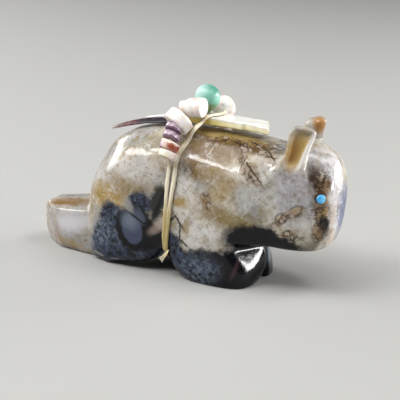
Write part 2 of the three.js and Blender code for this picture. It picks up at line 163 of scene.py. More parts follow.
SIDE = [
    (-21.4, -HEEL_DEPTH), (-23.8, 3.0), (RUMP_X, 8.4), (RUMP_X + 0.1, 13.4), (-24.0, 18.2),
    (-22.4, 22.0), (-20.2, 25.3), (-16.0, 28.6), (-11.2, 30.5), (-5.0, BACK_TOP), (3.0, BACK_TOP + 0.1),
    (9.0, BACK_TOP - 0.1), (14.0, BACK_TOP - 0.6), (17.6, BACK_TOP - 1.1), (20.4, BACK_TOP - 1.0),
    (23.0, BACK_TOP + 0.3), (25.4, BACK_TOP + 0.6), (27.8, BACK_TOP - 0.5), (29.9, 28.5), (31.2, 25.2),
    (NOSE_X, 20.8), (NOSE_X - 0.3, 16.2), (30.4, 12.2), (28.3, JAW_Z + 0.8), (25.6, JAW_Z),
    (22.0, JAW_Z - 0.1), (18.8, JAW_Z), (FOOT_X + 0.3, 8.0), (FOOT_X, 6.0), (FOOT_X + 0.2, 3.0),
    (FOOT_X - 0.4, 0.4), (FOOT_X - 1.6, -PAW_DEPTH), (12.0, -PAW_DEPTH), (5.0, -PAW_DEPTH),
    (2.0, -1.4), (-0.6, 0.2), (-2.4, 2.0), (-4.0, 4.6), (-5.6, 3.8), (-7.2, 2.0), (-10.0, 1.1),
    (-13.6, 0.3), (-16.6, -HEEL_DEPTH), (-19.0, -HEEL_DEPTH),
]
PLAN = [
    (RUMP_X - 0.2, 0), (-24.2, 4.2), (-21.8, 7.6), (-18.0, 10.0), (-13.0, HALF_WIDTH), (-8.0, 11.2),
    (-4.0, 10.8), (0.0, 11.1), (6.0, HALF_WIDTH + 0.3), (11.0, HALF_WIDTH), (15.0, 10.4), (18.6, 9.4),
    (22.0, 9.2), (25.4, 8.3), (28.4, 6.8), (30.7, 4.8), (31.8, 2.6), (NOSE_X + 0.1, 0),
]
PAW_PLAN = [
    (-30, 0), (-30, 13), (2.0, 12.6), (8.0, 11.9), (12.4, 9.8), (15.2, 7.2), (16.7, 4.6), (FOOT_X + 0.2, 2.4),
    (FOOT_X, 0),
]
CROSS = [
    (0, -3.2), (8.2, -3.1), (10.4, -1.8), (11.1, 2.2), (11.4, 8.0), (HALF_WIDTH + 0.2, 13.0), (11.3, 18.0),
    (10.8, 22.0), (9.8, 25.0), (7.6, 28.2), (4.4, 30.6), (0, 31.8),
]
BACK_SINK = [
    (-26, 9), (-22, 7.2), (-18, 4.2), (-14, 2.0), (-9, 0.6), (-4, 0), (8, 0), (16, 0.8), (20, 0.8),
    (24, 0), (28, 1.2), (33, 4.2),
]
TAIL_SIDE = [
    (-20.0, 0.2), (-20.0, 11.0), (-26.0, 11.0), (-31.0, 10.2), (-34.6, 9.3), (-36.3, 7.4),
    (TAIL_TIP_X, 4.2), (-36.6, 1.6), (-34.4, 0.2), (-28.0, -0.2),
]
TAIL_PLAN = [
    (TAIL_TIP_X - 0.1, 0), (-36.7, 2.4), (-35.2, 4.0), (-31.6, 5.0), (-27.0, 5.7), (-20.0, 6.2),
]
# Each ear has its base, its lean and turn in degrees, and its outline: across and up from the base
EARS = [
    {
        "base": (21.7, -7.2, 26.8), "forward": 17, "inward": 10, "turn": 18,
        "outline": [
            (-1.7, -1.5), (-2.0, 2.2), (-2.5, 4.5), (-2.7, 6.4), (-2.15, 7.8), (-0.5, 8.4), (0.9, 8.55),
            (1.95, 8.2), (2.15, 5.2), (2.3, 2.2), (2.3, -1.5),
        ],
    },
    {
        "base": (22.2, 5.9, 26.4), "forward": 1, "inward": 10, "turn": 18,
        "outline": [
            (-2.1, -1.5), (-2.3, 2.5), (-2.8, 5.2), (-2.3, 6.9), (-0.4, 8.0), (1.1, 8.4), (2.0, 7.9),
            (2.05, 6.7), (1.6, 5.2), (1.3, 3.0), (1.2, -1.5),
        ],
    },
]
EAR_THICKNESS = 2.3
EAR_GOUGE = 0.85  # depth of the hollow in an ear
# Edge ground along the top of each flank: x, half width and height
SHOULDER_EDGE = [
    (-25.0, 2.0, 15.0), (-21.5, 5.2, 18.4), (-18.6, 7.0, 21.2), (-14.6, 8.7, 23.7), (-11.2, 8.7, 25.1),
    (-8.1, 8.6, 25.9), (-1.1, 8.9, 25.7), (3.4, 9.15, 25.4), (7.9, 9.3, 24.9), (11.8, 9.3, 24.8),
    (13.8, 11.8, 27.2), (18.0, 13.0, 29.0), (23.0, 13.0, 31.0), (30.0, 13.0, 34.0),
]
# Flats ground on the head and tail: the way they face (x, out, z), a point on each and its edge softness
HEAD_FLATS = [
    ("crown", (0.45, 0.15, 0.88), (26.4, 4.8, 28.8), 0.6),
    ("temple", (0.53, 0.72, 0.43), (26.4, 4.8, 28.9), 1.4),
    ("brow", (0.955, 0.12, 0.27), (31.35, 0.0, 22.5), 0.8),
]
TAIL_FLATS = [
    ("end", (-0.63, 0.76, -0.15), (-31.3, 5.0, 5.0), 0.6),
    ("top", (-0.17, 0.55, 0.82), (-29.7, 4.3, 9.25), 0.6),
]
PAW_FLAT = ("top of the paw", (0.80, 0.48, 0.36), (15.3, 4.8, 3.9), 2.2)
NEAR_PAW_FRONT = (0.908, -0.42, 14.7)
FAR_PAW_FRONT = (1.0, 0.0, 15.7)
NECK_FOLD = [(20.2, 6.0, 28.0), (19.4, 7.6, 26.4), (18.4, 8.7, 24.6), (17.0, 9.2, 22.8)]
FOLD_DEPTH = 0.3
FOLD_RADIUS = 0.5
TOE_CUT = [(11.8, -1), (19.0, -1), (19.0, 8.6), (16.4, 8.2), (12.8, 4.8), (11.8, 2.8)]
TOE_CUT_HALF = 0.4
TOE_CUT_FLARE = 0.5
TABLE_STEP = 0.12  # spacing of the tables that the outlines' distances are read from


def smooth_curve(corners, closed, count):
    """Points of a centripetal Catmull-Rom curve through the corners, evenly spaced in its parameter."""
    pts = np.array(corners, float)
    n = len(pts)
    spans = n if closed else n - 1
    t = np.linspace(0, spans, count + 1)
    k = np.minimum(t.astype(int), spans - 1)
    w = (t - k)[:, None]
    if closed:
        p0, p1, p2, p3 = (pts[(k + d) % n] for d in (-1, 0, 1, 2))
    else:
        ends = np.vstack([2 * pts[0] - pts[1], pts, 2 * pts[-1] - pts[-2]])
        p0, p1, p2, p3 = (ends[k + 1 + d] for d in (-1, 0, 1, 2))

    def gap(a, b):
        return np.maximum(((a - b) ** 2).sum(1) ** 0.25, 1e-4)[:, None]

    d0, d1, d2 = gap(p0, p1), gap(p1, p2), gap(p2, p3)
    m1 = ((p1 - p0) / d0 - (p2 - p0) / (d0 + d1) + (p2 - p1) / d1) * d1
    m2 = ((p2 - p1) / d1 - (p3 - p1) / (d1 + d2) + (p3 - p2) / d2) * d1
    return (
        p1
        + m1 * w
        + (3 * (p2 - p1) - 2 * m1 - m2) * w**2
        + (2 * (p1 - p2) + m1 + m2) * w**3
    )


def mirrored(half, axis):
    """A half outline joined to its mirror image across one of its two coordinates."""
    line = smooth_curve(half, False, len(half) * CURVE_STEPS)
    flip = line[1:-1][::-1].copy()
    flip[:, axis] *= -1
    return np.vstack([line, flip])


class Outline:
    """Signed distance to a closed outline, negative inside, read from a fine table."""

    def __init__(self, points, margin=9.0):
        pts = np.array(points)
        self.low = pts.min(0) - margin
        size = np.ceil((pts.max(0) + margin - self.low) / TABLE_STEP).astype(int) + 2
        a = self.low[0] + TABLE_STEP * np.arange(size[0])[:, None]
        b = self.low[1] + TABLE_STEP * np.arange(size[1])[None, :]
        near = np.full(size, np.inf)
        inside = np.zeros(size, bool)
        for (ax, ay), (bx, by) in zip(pts, np.roll(pts, 1, 0)):
            dx, dy = bx - ax, by - ay
            share = np.clip(((a - ax) * dx + (b - ay) * dy) / (dx * dx + dy * dy + 1e-12), 0, 1)
            near = np.minimum(near, (a - ax - dx * share) ** 2 + (b - ay - dy * share) ** 2)
            if ay != by:
                inside ^= ((ay > b) != (by > b)) & (a < (b - ay) * dx / dy + ax)
        self.table = np.where(inside, -np.sqrt(near), np.sqrt(near))

    def at(self, a, b):
        a, b = np.broadcast_arrays(a, b)
        u = np.clip((a - self.low[0]) / TABLE_STEP, 0, self.table.shape[0] - 1.001)
        v = np.clip((b - self.low[1]) / TABLE_STEP, 0, self.table.shape[1] - 1.001)
        i, j = u.astype(int), v.astype(int)
        u, v = u - i, v - j
        t = self.table
        low = t[i, j] * (1 - u) + t[i + 1, j] * u
        high = t[i, j + 1] * (1 - u) + t[i + 1, j + 1] * u
        return low * (1 - v) + high * v


def soft_min(a, b, softness):
    h = np.maximum(softness - np.abs(a - b), 0) / softness
    return np.minimum(a, b) - h * h * softness / 4


def soft_max(a, b, softness):
    return -soft_min(-a, -b, softness)


def smoothstep(x, low, high):
    t = np.clip((x - low) / (high - low), 0, 1)
    return t * t * (3 - 2 * t)


side = Outline(smooth_curve(SIDE, True, len(SIDE) * CURVE_STEPS))
plan = Outline(mirrored(PLAN, 1))
paw_plan = Outline(mirrored(PAW_PLAN, 1))
cross = Outline(mirrored(CROSS, 0))
tail_side = Outline(smooth_curve(TAIL_SIDE, True, len(TAIL_SIDE) * CURVE_STEPS))
tail_plan = Outline(mirrored(TAIL_PLAN, 1))
toe_side = Outline(TOE_CUT, 3)
ear_outlines = [Outline(smooth_curve(ear["outline"], True, 120), 7) for ear in EARS]
SINK_AT, SINK_DEPTH = zip(*BACK_SINK)
EDGE_X, EDGE_OUT, EDGE_Z = smooth_curve(SHOULDER_EDGE, False, 160).T


def flat(ground, x, out, z):
    """Distance from a ground flat, positive outside it. The two sides of the animal mirror each other."""
    _, facing, point, _ = ground
    return sum(n * (v - p) for n, v, p in zip(facing, (x, out, z), point)) / math.hypot(*facing)


def body_field(x, y, z):
    raised = z + np.interp(x, SINK_AT, SINK_DEPTH) * smoothstep(z, 4, 18)
    across = soft_max(plan.at(x, y), cross.at(y, raised), EDGE_SOFTNESS)
    whole = soft_max(side.at(x, z), across, EDGE_SOFTNESS)
    out = np.abs(y)
    outward, upward = SHOULDER_FACING
    shoulder = outward * (out - np.interp(x, EDGE_X, EDGE_OUT)) + upward * (z - np.interp(x, EDGE_X, EDGE_Z))
    whole = soft_max(whole, shoulder, SHOULDER_SOFTNESS)
    for ground in HEAD_FLATS:
        whole = soft_max(whole, flat(ground, x, out, z), ground[3])
    near_front, far_front = (a * x + b * z - a * c for a, b, c in (NEAR_PAW_FRONT, FAR_PAW_FRONT))
    paw_front = near_front + (far_front - near_front) * smoothstep(y, -1.5, 1.5)
    whole = soft_max(whole, soft_min(paw_front, PAW_TOP_Z - z, PAW_SOFTNESS), 1.0)
    whole = soft_max(whole, soft_min(flat(PAW_FLAT, x, out, z), PAW_TOP_Z - z, PAW_SOFTNESS), PAW_FLAT[3])
    under_jaw = soft_min(UNDER_JAW_Z - z, paw_plan.at(x, y), PAW_SOFTNESS)
    return soft_max(whole, under_jaw, JAW_SOFTNESS)


def tail_field(x, y, z):
    tail = soft_max(tail_side.at(x, z), tail_plan.at(x, y), TAIL_SOFTNESS)
    for ground in TAIL_FLATS:
        tail = soft_max(tail, flat(ground, x, np.abs(y), z), ground[3])
    return tail


def fold_field(x, y, z):
    """Rounded fold that runs down from the root of each ear to the neck."""
    fold = np.full(np.broadcast(x, y, z).shape, 9.0)
    for a, b in zip(fold_line, fold_line[1:]):
        way = (b - a) / ((b - a) @ (b - a))
        out = np.abs(y)
        share = np.clip((x - a[0]) * way[0] + (out - a[1]) * way[1] + (z - a[2]) * way[2], 0, 1)
        gaps = [v - p - (q - p) * share for v, p, q in zip((x, out, z), a, b)]
        fold = np.minimum(fold, np.sqrt(gaps[0] ** 2 + gaps[1] ** 2 + gaps[2] ** 2))
    return fold - FOLD_RADIUS


def slope(field, p):
    """Value of a field at many points, and its gradient."""
    nudge = 0.02
    here = field(*p.T)
    ways = [(field(*(p + nudge * e).T) - field(*(p - nudge * e).T)) / (2 * nudge) for e in np.eye(3)]
    return here, np.stack(ways, 1)


def settle(field, points, height=0.0, reach=np.inf, passes=6):
    """The nearest places to some points at a height above a field's skin, moved by no more than the
    reach in each pass."""
    p = np.array(points, float)
    for _ in range(passes):
        value, grad = slope(field, p)
        steep = np.maximum((grad**2).sum(1), 0.25)
        p = p - grad * (np.clip(value - height, -reach, reach) / steep)[:, None]
    return p


fold_line = settle(body_field, NECK_FOLD, -FOLD_DEPTH)


def ear_turn(ear):
    """Rotation of an ear: leant in and forward, with its hollow turned to the front."""
    a, b, c = (math.radians(ear[k]) for k in ("inward", "forward", "turn"))
    about_x = Matrix.Rotation(-a, 3, "X")
    about_y = Matrix.Rotation(b, 3, "Y")
    about_z = Matrix.Rotation(c, 3, "Z")
    return np.array(about_x @ about_y @ about_z)


def ear_field(ear, outline, x, y, z):
    turn = ear_turn(ear)
    base = ear["base"]
    side_sign = -1 if base[1] > 0 else 1
    dx, dy, dz = x - base[0], (y - base[1]) * side_sign, z - base[2]
    across, through, up = (turn[0, n] * dx + turn[1, n] * dy + turn[2, n] * dz for n in range(3))
    rim = outline.at(across, up)
    gouge = EAR_GOUGE * smoothstep(-rim, 0.55, 1.5) * smoothstep(up, -0.5, 1.5)
    hollow_face = -through - EAR_THICKNESS / 2 + gouge
    back_face = through - EAR_THICKNESS / 2
    return soft_max(soft_max(rim, back_face, 1.8), hollow_face, 0.7)


def stone_field(x, y, z):
    """Signed distance to the carving's skin, in the carver's drawing."""
    stone = soft_min(body_field(x, y, z), tail_field(x, y, z), CREASE)
    stone = soft_min(stone, fold_field(x, y, z), 1.2)
    for ear, outline in zip(EARS, ear_outlines):
        stone = soft_min(stone, ear_field(ear, outline, x, y, z), 0.8)
    slot = np.abs(y) - TOE_CUT_HALF * (1 + (x - TOE_CUT[0][0]) * TOE_CUT_FLARE)
    stone = soft_max(stone, -soft_max(toe_side.at(x, z), slot, 0.3), 0.5)
    return soft_max(stone, -z, 0.25)


def marks(*stretches):
    """Grid marks along one axis: (start, stop, step) for each stretch, one after another."""
    parts = [np.arange(a, b - 1e-9, s) for a, b, s in stretches]
    return np.concatenate(parts + [[stretches[-1][1]]])


def skin(field, xs, ys, zs):
    """Surface nets: one point in each cell that the skin crosses, one quad across each crossing edge."""
    value = field(xs[:, None, None], ys[None, :, None], zs[None, None, :])
    inside = value < 0
    shape = np.array(inside.shape)
    cells = shape - 1
    count = np.zeros(cells, int)
    for corner in np.ndindex(2, 2, 2):
        count += inside[tuple(slice(c, c + n) for c, n in zip(corner, cells))]
    ci, cj, ck = np.nonzero((count > 0) & (count < 8))
    number = np.full(cells, -1)
    number[ci, cj, ck] = np.arange(len(ci))
    total = np.zeros((len(ci), 3))
    hits = np.zeros(len(ci))
    axes = (xs, ys, zs)
    for axis in range(3):
        for da, db in np.ndindex(2, 2):
            start = np.stack([ci, cj, ck])
            start[(axis + 1) % 3] += da
            start[(axis + 2) % 3] += db
            end = start.copy()
            end[axis] += 1
            a, b = value[tuple(start)], value[tuple(end)]
            crosses = (a < 0) != (b < 0)
            share = np.where(crosses, a / np.where(crosses, a - b, 1), 0)
            place = np.stack([m[s] for m, s in zip(axes, start)], 1)
            far = axes[axis][end[axis]]
            place[:, axis] += share * (far - place[:, axis])
            total += place * crosses[:, None]
            hits += crosses
    points = total / hits[:, None]
    quads = []
    for axis in range(3):
        step = np.eye(3, dtype=int)
        here = inside[tuple(slice(1, n - 1) for n in shape)]
        ahead = inside[tuple(slice(1 + s, n - 1 + s) for n, s in zip(shape, step[axis]))]
        at = np.stack(np.nonzero(here != ahead), 1) + 1
        u, v = step[(axis + 1) % 3], step[(axis + 2) % 3]
        corner = [number[tuple((at - d).T)] for d in (0 * u, u, u + v, v)]
        quad = np.stack(corner, 1)
        outward = inside[tuple(at.T)]
        quads.append(np.where(outward[:, None], quad, quad[:, ::-1]))
    return points, np.concatenate(quads)


def make_piece(name, points, faces, material, attributes=None):
    """A mesh object at the origin, from points in millimetres in the part's frame."""
    mesh = bpy.data.meshes.new(name)
    points = np.asarray(points, float) * MM
    faces = [list(map(int, f)) for f in faces]
    mesh.from_pydata(points.tolist(), [], faces)
    mesh.validate()
    mesh.materials.append(material)
    mesh.polygons.foreach_set("use_smooth", [True] * len(mesh.polygons))
    for key, values in (attributes or {}).items():
        layer = mesh.attributes.new(key, "FLOAT", "POINT")
        layer.data.foreach_set("value", np.asarray(values, np.float32))
    mesh.update()
    piece = bpy.data.objects.new(name, mesh)
    bpy.context.scene.collection.objects.link(piece)
    return piece


def finished(piece, slot, *nodes):
    """Hangs a piece on the root body and hides the CAD nodes that it stands for. The slot is not used."""
    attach(piece, "root")
    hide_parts(*nodes)


# Stone material
# Colours of the stone, named for what they are in it; facepale, milk, ochre and steel also serve as painted
# highlights and reflections in a few markings below
STONE = {
    "grey": "8e8c89", "cream": "b3aa9b", "pale": "cac7c2", "neck": "b2afa9", "lavender": "93929a",
    "facepale": "c6c4c8", "olive": "837e68", "beige": "ab9d8b", "tan": "8c754c", "gold": "9b8045",
    "brown": "725734", "rosy": "8f7d73", "olivegold": "7d6c3e", "umber": "33271c", "amber": "98692c",
    "honey": "b59b60", "pebble": "3f445a", "slatelight": "575d6e", "darkolive": "2a2c28", "black": "050508",
    "night": "0d0e15", "slate": "363d50", "steel": "66717d", "ochre": "907a4a", "milk": "dedad6",
    "inkblue": "39446a", "plum": "3d2830",
}
# Each marking: what it is, its colour, middle, half sizes (along, into the stone, up), tilt in degrees,
# softness of its edge and strength. A middle with y = 0 and a great depth goes right through the stone.
# The colours dark, black and bluegrey vary within themselves and are mixed in the material.
CLOUDS = [
    # Painted highlight: a soft glow of light on the upper haunch
    ("painted glow of light on the haunch", "pale", (-13.3, -8.2, 21.4), (4.5, 5, 3.6), 33, 0.6, 0.45),
    ("grey olive over the haunch", "olive", (-5.6, -6.7, 27.5), (4.9, 6, 1.9), 13, 0.7, 0.55),
    ("gold cloud low on the haunch", "gold", (-13.7, 0.0, 14.9), (4.2, 40, 2.8), 8, 0.45, 0.95),
    ("tan cloud on the haunch", "tan", (-9.9, 0.0, 18.2), (3.3, 40, 2.4), -22, 0.6, 0.7),
    ("second tan cloud on the haunch", "tan", (-5.9, -9.3, 19.0), (2.8, 5, 2.0), -2, 0.6, 0.5),
    ("tan spot under the beads", "tan", (-3.7, -8.7, 23.0), (1.6, 4, 2.0), 8, 0.7, 0.3),
    ("rear edge of the haunch", "tan", (-19.0, -6.6, 11.4), (1.4, 6, 6.0), 4, 0.5, 0.6),
    ("brown cloud over the shoulder", "brown", (7.7, 0.0, 27.9), (6.9, 40, 2.5), 0, 0.4, 0.85),
    ("tan cloud under the shoulder", "tan", (7.6, -8.8, 23.4), (6.4, 7, 2.1), -8, 0.6, 0.75),
    ("brown spot beside the sinew", "brown", (4.3, -8.6, 24.3), (2.2, 4, 1.5), -12, 0.6, 0.7),
    ("gold haze on the flank", "gold", (11.2, -9.4, 20.0), (2.9, 5, 1.9), 28, 0.7, 0.5),
    ("brown ring on the flank", "brown", (10.0, -9.6, 15.9), (2.4, 3, 1.7), -37, 0.6, 0.5),
    ("grey of the back before the ears", "olive", (16.5, -4.0, 28.4), (5.4, 3, 1.9), 0, 0.5, 0.75),
    ("olive cloud on the flank", "olivegold", (14.6, 0.0, 14.8), (4.6, 40, 2.0), -2, 0.5, 0.9),
    ("cream flank", "pale", (7.5, -9.5, 10.4), (4.5, 7, 3.1), -7, 0.5, 0.85),
    ("cream strip by the sinew", "pale", (3.6, -9.2, 18.9), (1.8, 6, 5.4), 8, 0.6, 0.85),
    ("pale haunch under the beads", "pale", (-6.5, -9.0, 21.6), (4.0, 5, 2.6), 0, 0.7, 0.6),
    ("grey light on the neck", "neck", (21.4, -7.9, 22.6), (3.4, 6, 5.0), 16, 0.5, 0.85),
    ("grey patch on the shoulder", "neck", (16.8, -8.9, 19.8), (2.7, 4, 1.9), 8, 0.6, 0.6),
    ("lavender grey of the head", "lavender", (26.8, -7.6, 21.2), (4.3, 9, 6.3), 13, 0.4, 0.75),
    # Partly painted sheen: pale stone on the crown, painted lighter for the light it catches
    ("pale crown with painted sheen", "facepale", (29.5, -2.3, 29.4), (5.4, 9, 2.3), -7, 0.45, 0.4),
    ("pale front of the face", "facepale", (33.5, -1.8, 20.8), (3.5, 4, 9.6), 8, 0.4, 0.85),
    ("grey green low on the head", "olive", (28.4, -7.3, 12.1), (4.9, 6, 1.5), 12, 0.5, 0.55),
    ("pale lower cheek", "neck", (27.9, -7.5, 15.2), (3.1, 4, 2.5), 8, 0.6, 0.5),
    ("gold spot on the flank", "gold", (2.4, -9.3, 16.6), (1.9, 3, 1.1), 8, 0.6, 0.9),
    ("tan streak in the flank", "tan", (4.7, -9.5, 11.6), (1.0, 3, 2.3), -8, 0.6, 0.75),
]
DARKS = [
    ("black under the jaw", "black", (19.3, -8.7, 10.9), (6.6, 9, 3.6), 2, 0.2, 1),
    ("black tail of the jaw patch", "black", (25.0, -7.9, 10.6), (3.6, 6, 1.3), -4, 0.3, 1),
    ("forefoot dark", "black", (12.4, 0.0, 2.4), (14.2, 40, 5.6), 2, 0.12, 1),
    ("blue of the forefoot", "bluegrey", (7.7, -9.4, 3.2), (4.4, 6, 3.2), 6, 0.5, 0.95),
    ("black of the paw", "black", (18.4, -6.0, 5.6), (6.0, 9, 4.6), 8, 0.25, 1),
    ("dark behind the forefoot", "dark", (1.2, -8.8, 6.0), (2.8, 7, 4.2), 12, 0.2, 1),
    ("dark blot over the haunch pebble", "dark", (-12.4, -9.2, 10.9), (3.4, 6, 3.0), -22, 0.25, 1),
    ("blue grey haunch", "bluegrey", (-13.6, 0.0, 5.0), (4.8, 40, 5.2), 8, 0.25, 1),
    ("dark right of the haunch pebble", "black", (-3.3, -9.0, 6.6), (4.0, 8, 4.4), 14, 0.15, 1),
    ("dark sole of the hind foot", "dark", (-9.0, 0.0, 2.2), (9.6, 40, 3.2), 4, 0.25, 1),
    ("dark cloud over the branches", "dark", (-5.9, -9.4, 14.9), (2.9, 4, 2.3), 20, 0.3, 1),
    ("dark by the sinew", "darkolive", (-2.1, -9.2, 15.8), (1.7, 4, 3.9), -12, 0.3, 1),
    ("dark bed of the pebble", "black", (-7.0, -9.4, 9.2), (4.6, 4, 5.0), 20, 0.15, 1),
]
LENSES = [
    ("pebble of the haunch", "pebble", (-7.6, -9.4, 9.1), (2.25, 4, 3.25), 18, 0.1, 1),
    ("lighter top of the pebble", "steel", (-8.1, -9.4, 10.9), (1.7, 3, 1.9), 18, 0.8, 0.9),
    ("light lens over the pebble", "grey", (-8.5, -9.4, 14.0), (0.9, 3, 1.6), 28, 0.5, 0.8),
    ("grey lens over the pebble", "slatelight", (-5.9, -9.4, 12.2), (1.1, 3, 1.8), 30, 0.5, 0.6),
    ("rosy lens by the sinew", "rosy", (-2.3, -9.2, 10.1), (1.9, 3, 0.9), 40, 0.6, 0.8),
    # Painted glints: light caught along the lower edge of the hind sole
    ("painted glint on the hind sole", "grey", (-15.9, -7.8, 1.8), (1.3, 3, 0.4), -12, 0.3, 0.9),
    ("second painted glint on the hind sole", "grey", (-12.0, -8.1, 1.6), (1.1, 3, 0.3), 8, 0.3, 0.8),
    ("brown cloud over the eye", "brown", (31.5, -5.3, 23.8), (1.8, 4, 1.9), 8, 0.5, 0.85),
    ("dark cloud behind the eye", "umber", (29.7, -6.2, 24.9), (1.0, 4, 2.1), 20, 0.5, 0.8),
    ("brown band of the cheek", "brown", (31.4, -5.7, 19.2), (1.6, 4, 3.3), 13, 0.5, 0.8),
    ("black spot of the cheek", "black", (31.9, -5.0, 15.9), (1.2, 3, 1.9), 18, 0.35, 1),
    ("dark mark over the eye", "umber", (28.8, -5.8, 27.1), (0.7, 3, 1.0), 18, 0.7, 0.6),
    ("brown low on the cheek", "umber", (31.4, -5.4, 13.6), (1.6, 4, 1.3), 8, 0.5, 0.75),
    ("pale pebble low on the cheek", "beige", (30.9, -6.0, 14.5), (0.8, 3, 1.1), 8, 0.25, 1),
    ("tan pebble of the cheek", "tan", (31.8, -5.4, 18.4), (1.0, 3, 0.8), 38, 0.3, 0.9),
    ("tan band in front of the eye", "beige", (33.0, -3.3, 17.4), (0.7, 3, 2.9), 8, 0.5, 0.7),
    ("tan low front of the face", "beige", (32.6, -1.9, 12.4), (1.3, 4, 1.7), 28, 0.5, 0.6),
    ("brown top of the tail", "brown", (-26.1, -2.6, 10.5), (5.4, 5, 1.4), 17, 0.5, 0.8),
    ("brown streak on the tail", "brown", (-27.9, -2.9, 9.9), (2.9, 3, 0.5), 18, 0.6, 0.9),
    # Painted reflection: the bright sheen on the side facet of the tail
    ("painted reflection on the side of the tail", "facepale", (-24.8, -4.8, 6.2), (4.6, 4, 2.0), 13, 0.8, 0.95),
    ("rosy end of the tail", "rosy", (-29.3, -4.1, 3.5), (1.8, 4, 2.9), 8, 0.5, 0.7),
    ("tan under the tail", "tan", (-24.3, -4.6, 1.6), (3.6, 4, 1.0), -6, 0.5, 0.6),
    ("honey of the near ear", "honey", (25.8, -6.2, 30.4), (2.1, 1.8, 3.9), -17, 0.5, 0.9),
    ("deep amber of the near ear", "amber", (25.0, -6.3, 29.6), (1.1, 1.6, 2.6), -17, 0.8, 0.8),
    # Partly painted highlight: the white rim of the near ear, painted brighter where it catches the light
    ("white rim and painted highlight of the near ear", "milk", (27.6, -6.6, 30.4), (0.6, 1.8, 4.0), -17, 0.4, 0.9),
    ("amber of the far ear", "amber", (26.6, 4.4, 33.2), (1.3, 3, 1.9), 8, 0.6, 0.9),
    # Painted reflection: the spearhead's yellow near face mirrored in the polished back below it
    ("painted reflection of the spearhead", "ochre", (9.8, -2.2, 29.9), (8.6, 2.0, 2.0), 0, 0.2, 0.9),
    ("dark lower edge of the jaw", "darkolive", (28.6, -6.5, 9.4), (6.0, 5, 1.0), 4, 0.6, 0.6),
    ("blue edge of the muzzle", "inkblue", (33.8, 2.4, 17.2), (2.8, 2.8, 4.8), 8, 0.7, 0.75),
    ("plum vein of the foot", "plum", (15.4, -8.3, 4.4), (0.5, 3, 2.2), -25, 0.6, 0.7),
    # Painted highlight: the lit rim of the far paw
    ("painted highlight on the edge of the far paw", "steel", (18.7, 2.8, 5.6), (1.2, 2, 2.4), 0, 0.5, 0.7),
    ("ring of the first head pebble", "umber", (24.0, -8.1, 16.7), (1.3, 3, 0.95), 30, 0.25, 0.8),
    ("first head pebble", "beige", (24.0, -8.1, 16.7), (0.95, 3, 0.65), 30, 0.25, 1),
    ("ring of the second head pebble", "umber", (26.85, -7.7, 18.5), (1.6, 3, 1.0), 30, 0.25, 0.8),
    ("second head pebble", "beige", (26.85, -7.7, 18.5), (1.2, 3, 0.7), 30, 0.25, 1),
    ("glue round the right eye", "umber", (31.3, -6.6, 21.4), (1.15, 2, 1.15), 0, 0.15, 0.85),
    ("glue round the left eye", "umber", (31.3, 8.2, 21.4), (1.15, 2, 1.15), 0, 0.15, 0.85),
]
# Dark stain that is broken up into specks about a millimetre across
SPECKLED = [
    ("veins along the back", "umber", (13.8, -4.2, 28.7), (6.0, 2.0, 1.5), 0, 0.6, 1),
    ("back before the ears", "umber", (19.0, -2.6, 29.0), (3.2, 2.0, 2.4), 0, 0.6, 0.85),
    ("over the eye", "umber", (30.6, -5.8, 24.6), (2.4, 4, 3.0), 14, 0.6, 0.95),
    ("below the eye", "umber", (31.3, -5.6, 17.4), (1.8, 4, 4.4), 12, 0.6, 0.95),
    ("edge of the jaw", "black", (25.2, -8.0, 12.2), (3.6, 4, 1.4), 6, 0.5, 0.9),
    ("edge of the muzzle", "inkblue", (33.8, 1.8, 17.4), (3.4, 3, 5.2), 8, 0.5, 0.8),
    ("under the spearhead", "umber", (8.6, -3.6, 29.4), (7.0, 2, 0.8), 0, 0.6, 0.7),
    ("flank beside the sinew", "umber", (3.6, -9.3, 23.6), (2.0, 4, 1.0), -20, 0.6, 0.6),
]
# Rows of small outlined pebbles: middle, half sizes, tilt
PEBBLE_ROWS = [
    ("row down the shoulder", (16.9, -7.8, 25.0), (4.2, 3, 1.1), -42),
    ("pebbles on the flank", (8.6, -9.5, 18.0), (1.2, 3, 2.0), -25),
    ("row across the head", (25.2, -8.0, 17.1), (3.8, 3, 0.9), 33),
    ("cluster under the row", (25.9, -7.9, 13.7), (2.0, 3, 0.9), 20),
    ("loops on the back", (13.5, -4.2, 29.2), (6.5, 2.4, 2.0), 0),
    ("pebble by the ear", (20.3, -5.4, 27.6), (1.5, 3, 1.2), 0),
    ("cheek band", (31.0, -5.8, 14.3), (1.0, 3, 1.5), 10),
    ("left flank row", (3.0, 11.0, 19.0), (5.0, 3, 1.6), 30),
    ("left haunch row", (-12.0, 11.0, 13.0), (4.0, 3, 1.4), -25),
    ("left cheek", (28.5, 8.3, 16.5), (3.0, 3, 1.6), -20),
]
# Thin veins: colour, from, to, half width
VEINS = [
    ("black", (-8.7, -9.5, 12.8), (-4.8, -9.4, 10.7), 0.25),
    ("black", (-4.9, -9.4, 10.7), (-3.4, -9.3, 11.6), 0.22),
    ("black", (-6.6, -9.4, 15.3), (-3.6, -9.3, 11.1), 0.23),
    ("black", (-0.7, -9.1, 18.6), (-3.2, -9.3, 11.4), 0.42),
    ("black", (0.9, -9.2, 12.3), (2.1, -9.3, 13.7), 0.24),
    ("black", (1.9, -9.3, 13.7), (3.8, -9.4, 11.4), 0.24),
    ("black", (3.1, -9.3, 11.9), (3.2, -9.3, 8.9), 0.24),
    ("black", (3.2, -9.3, 8.9), (5.1, -9.4, 7.6), 0.24),
    ("umber", (14.9, -7.0, 27.2), (19.2, -8.1, 23.2), 0.2),
    ("umber", (11.0, -3.7, 29.6), (15.2, -4.4, 28.9), 0.25),
    ("umber", (14.9, -2.6, 29.5), (18.9, -4.1, 28.6), 0.25),
    ("brown", (7.5, -9.3, 18.4), (9.1, -9.5, 16.6), 0.14),
    ("brown", (9.1, -9.5, 16.6), (10.4, -9.6, 15.0), 0.14),
    ("umber", (18.8, -3.8, 28.7), (21.3, -6.1, 27.2), 0.2),
    ("pale", (7.3, -7.6, 26.9), (7.9, -6.4, 28.3), 0.1),
    ("dark", (-9.3, -9.4, 8.9), (-6.0, -9.4, 7.6), 0.1),
]


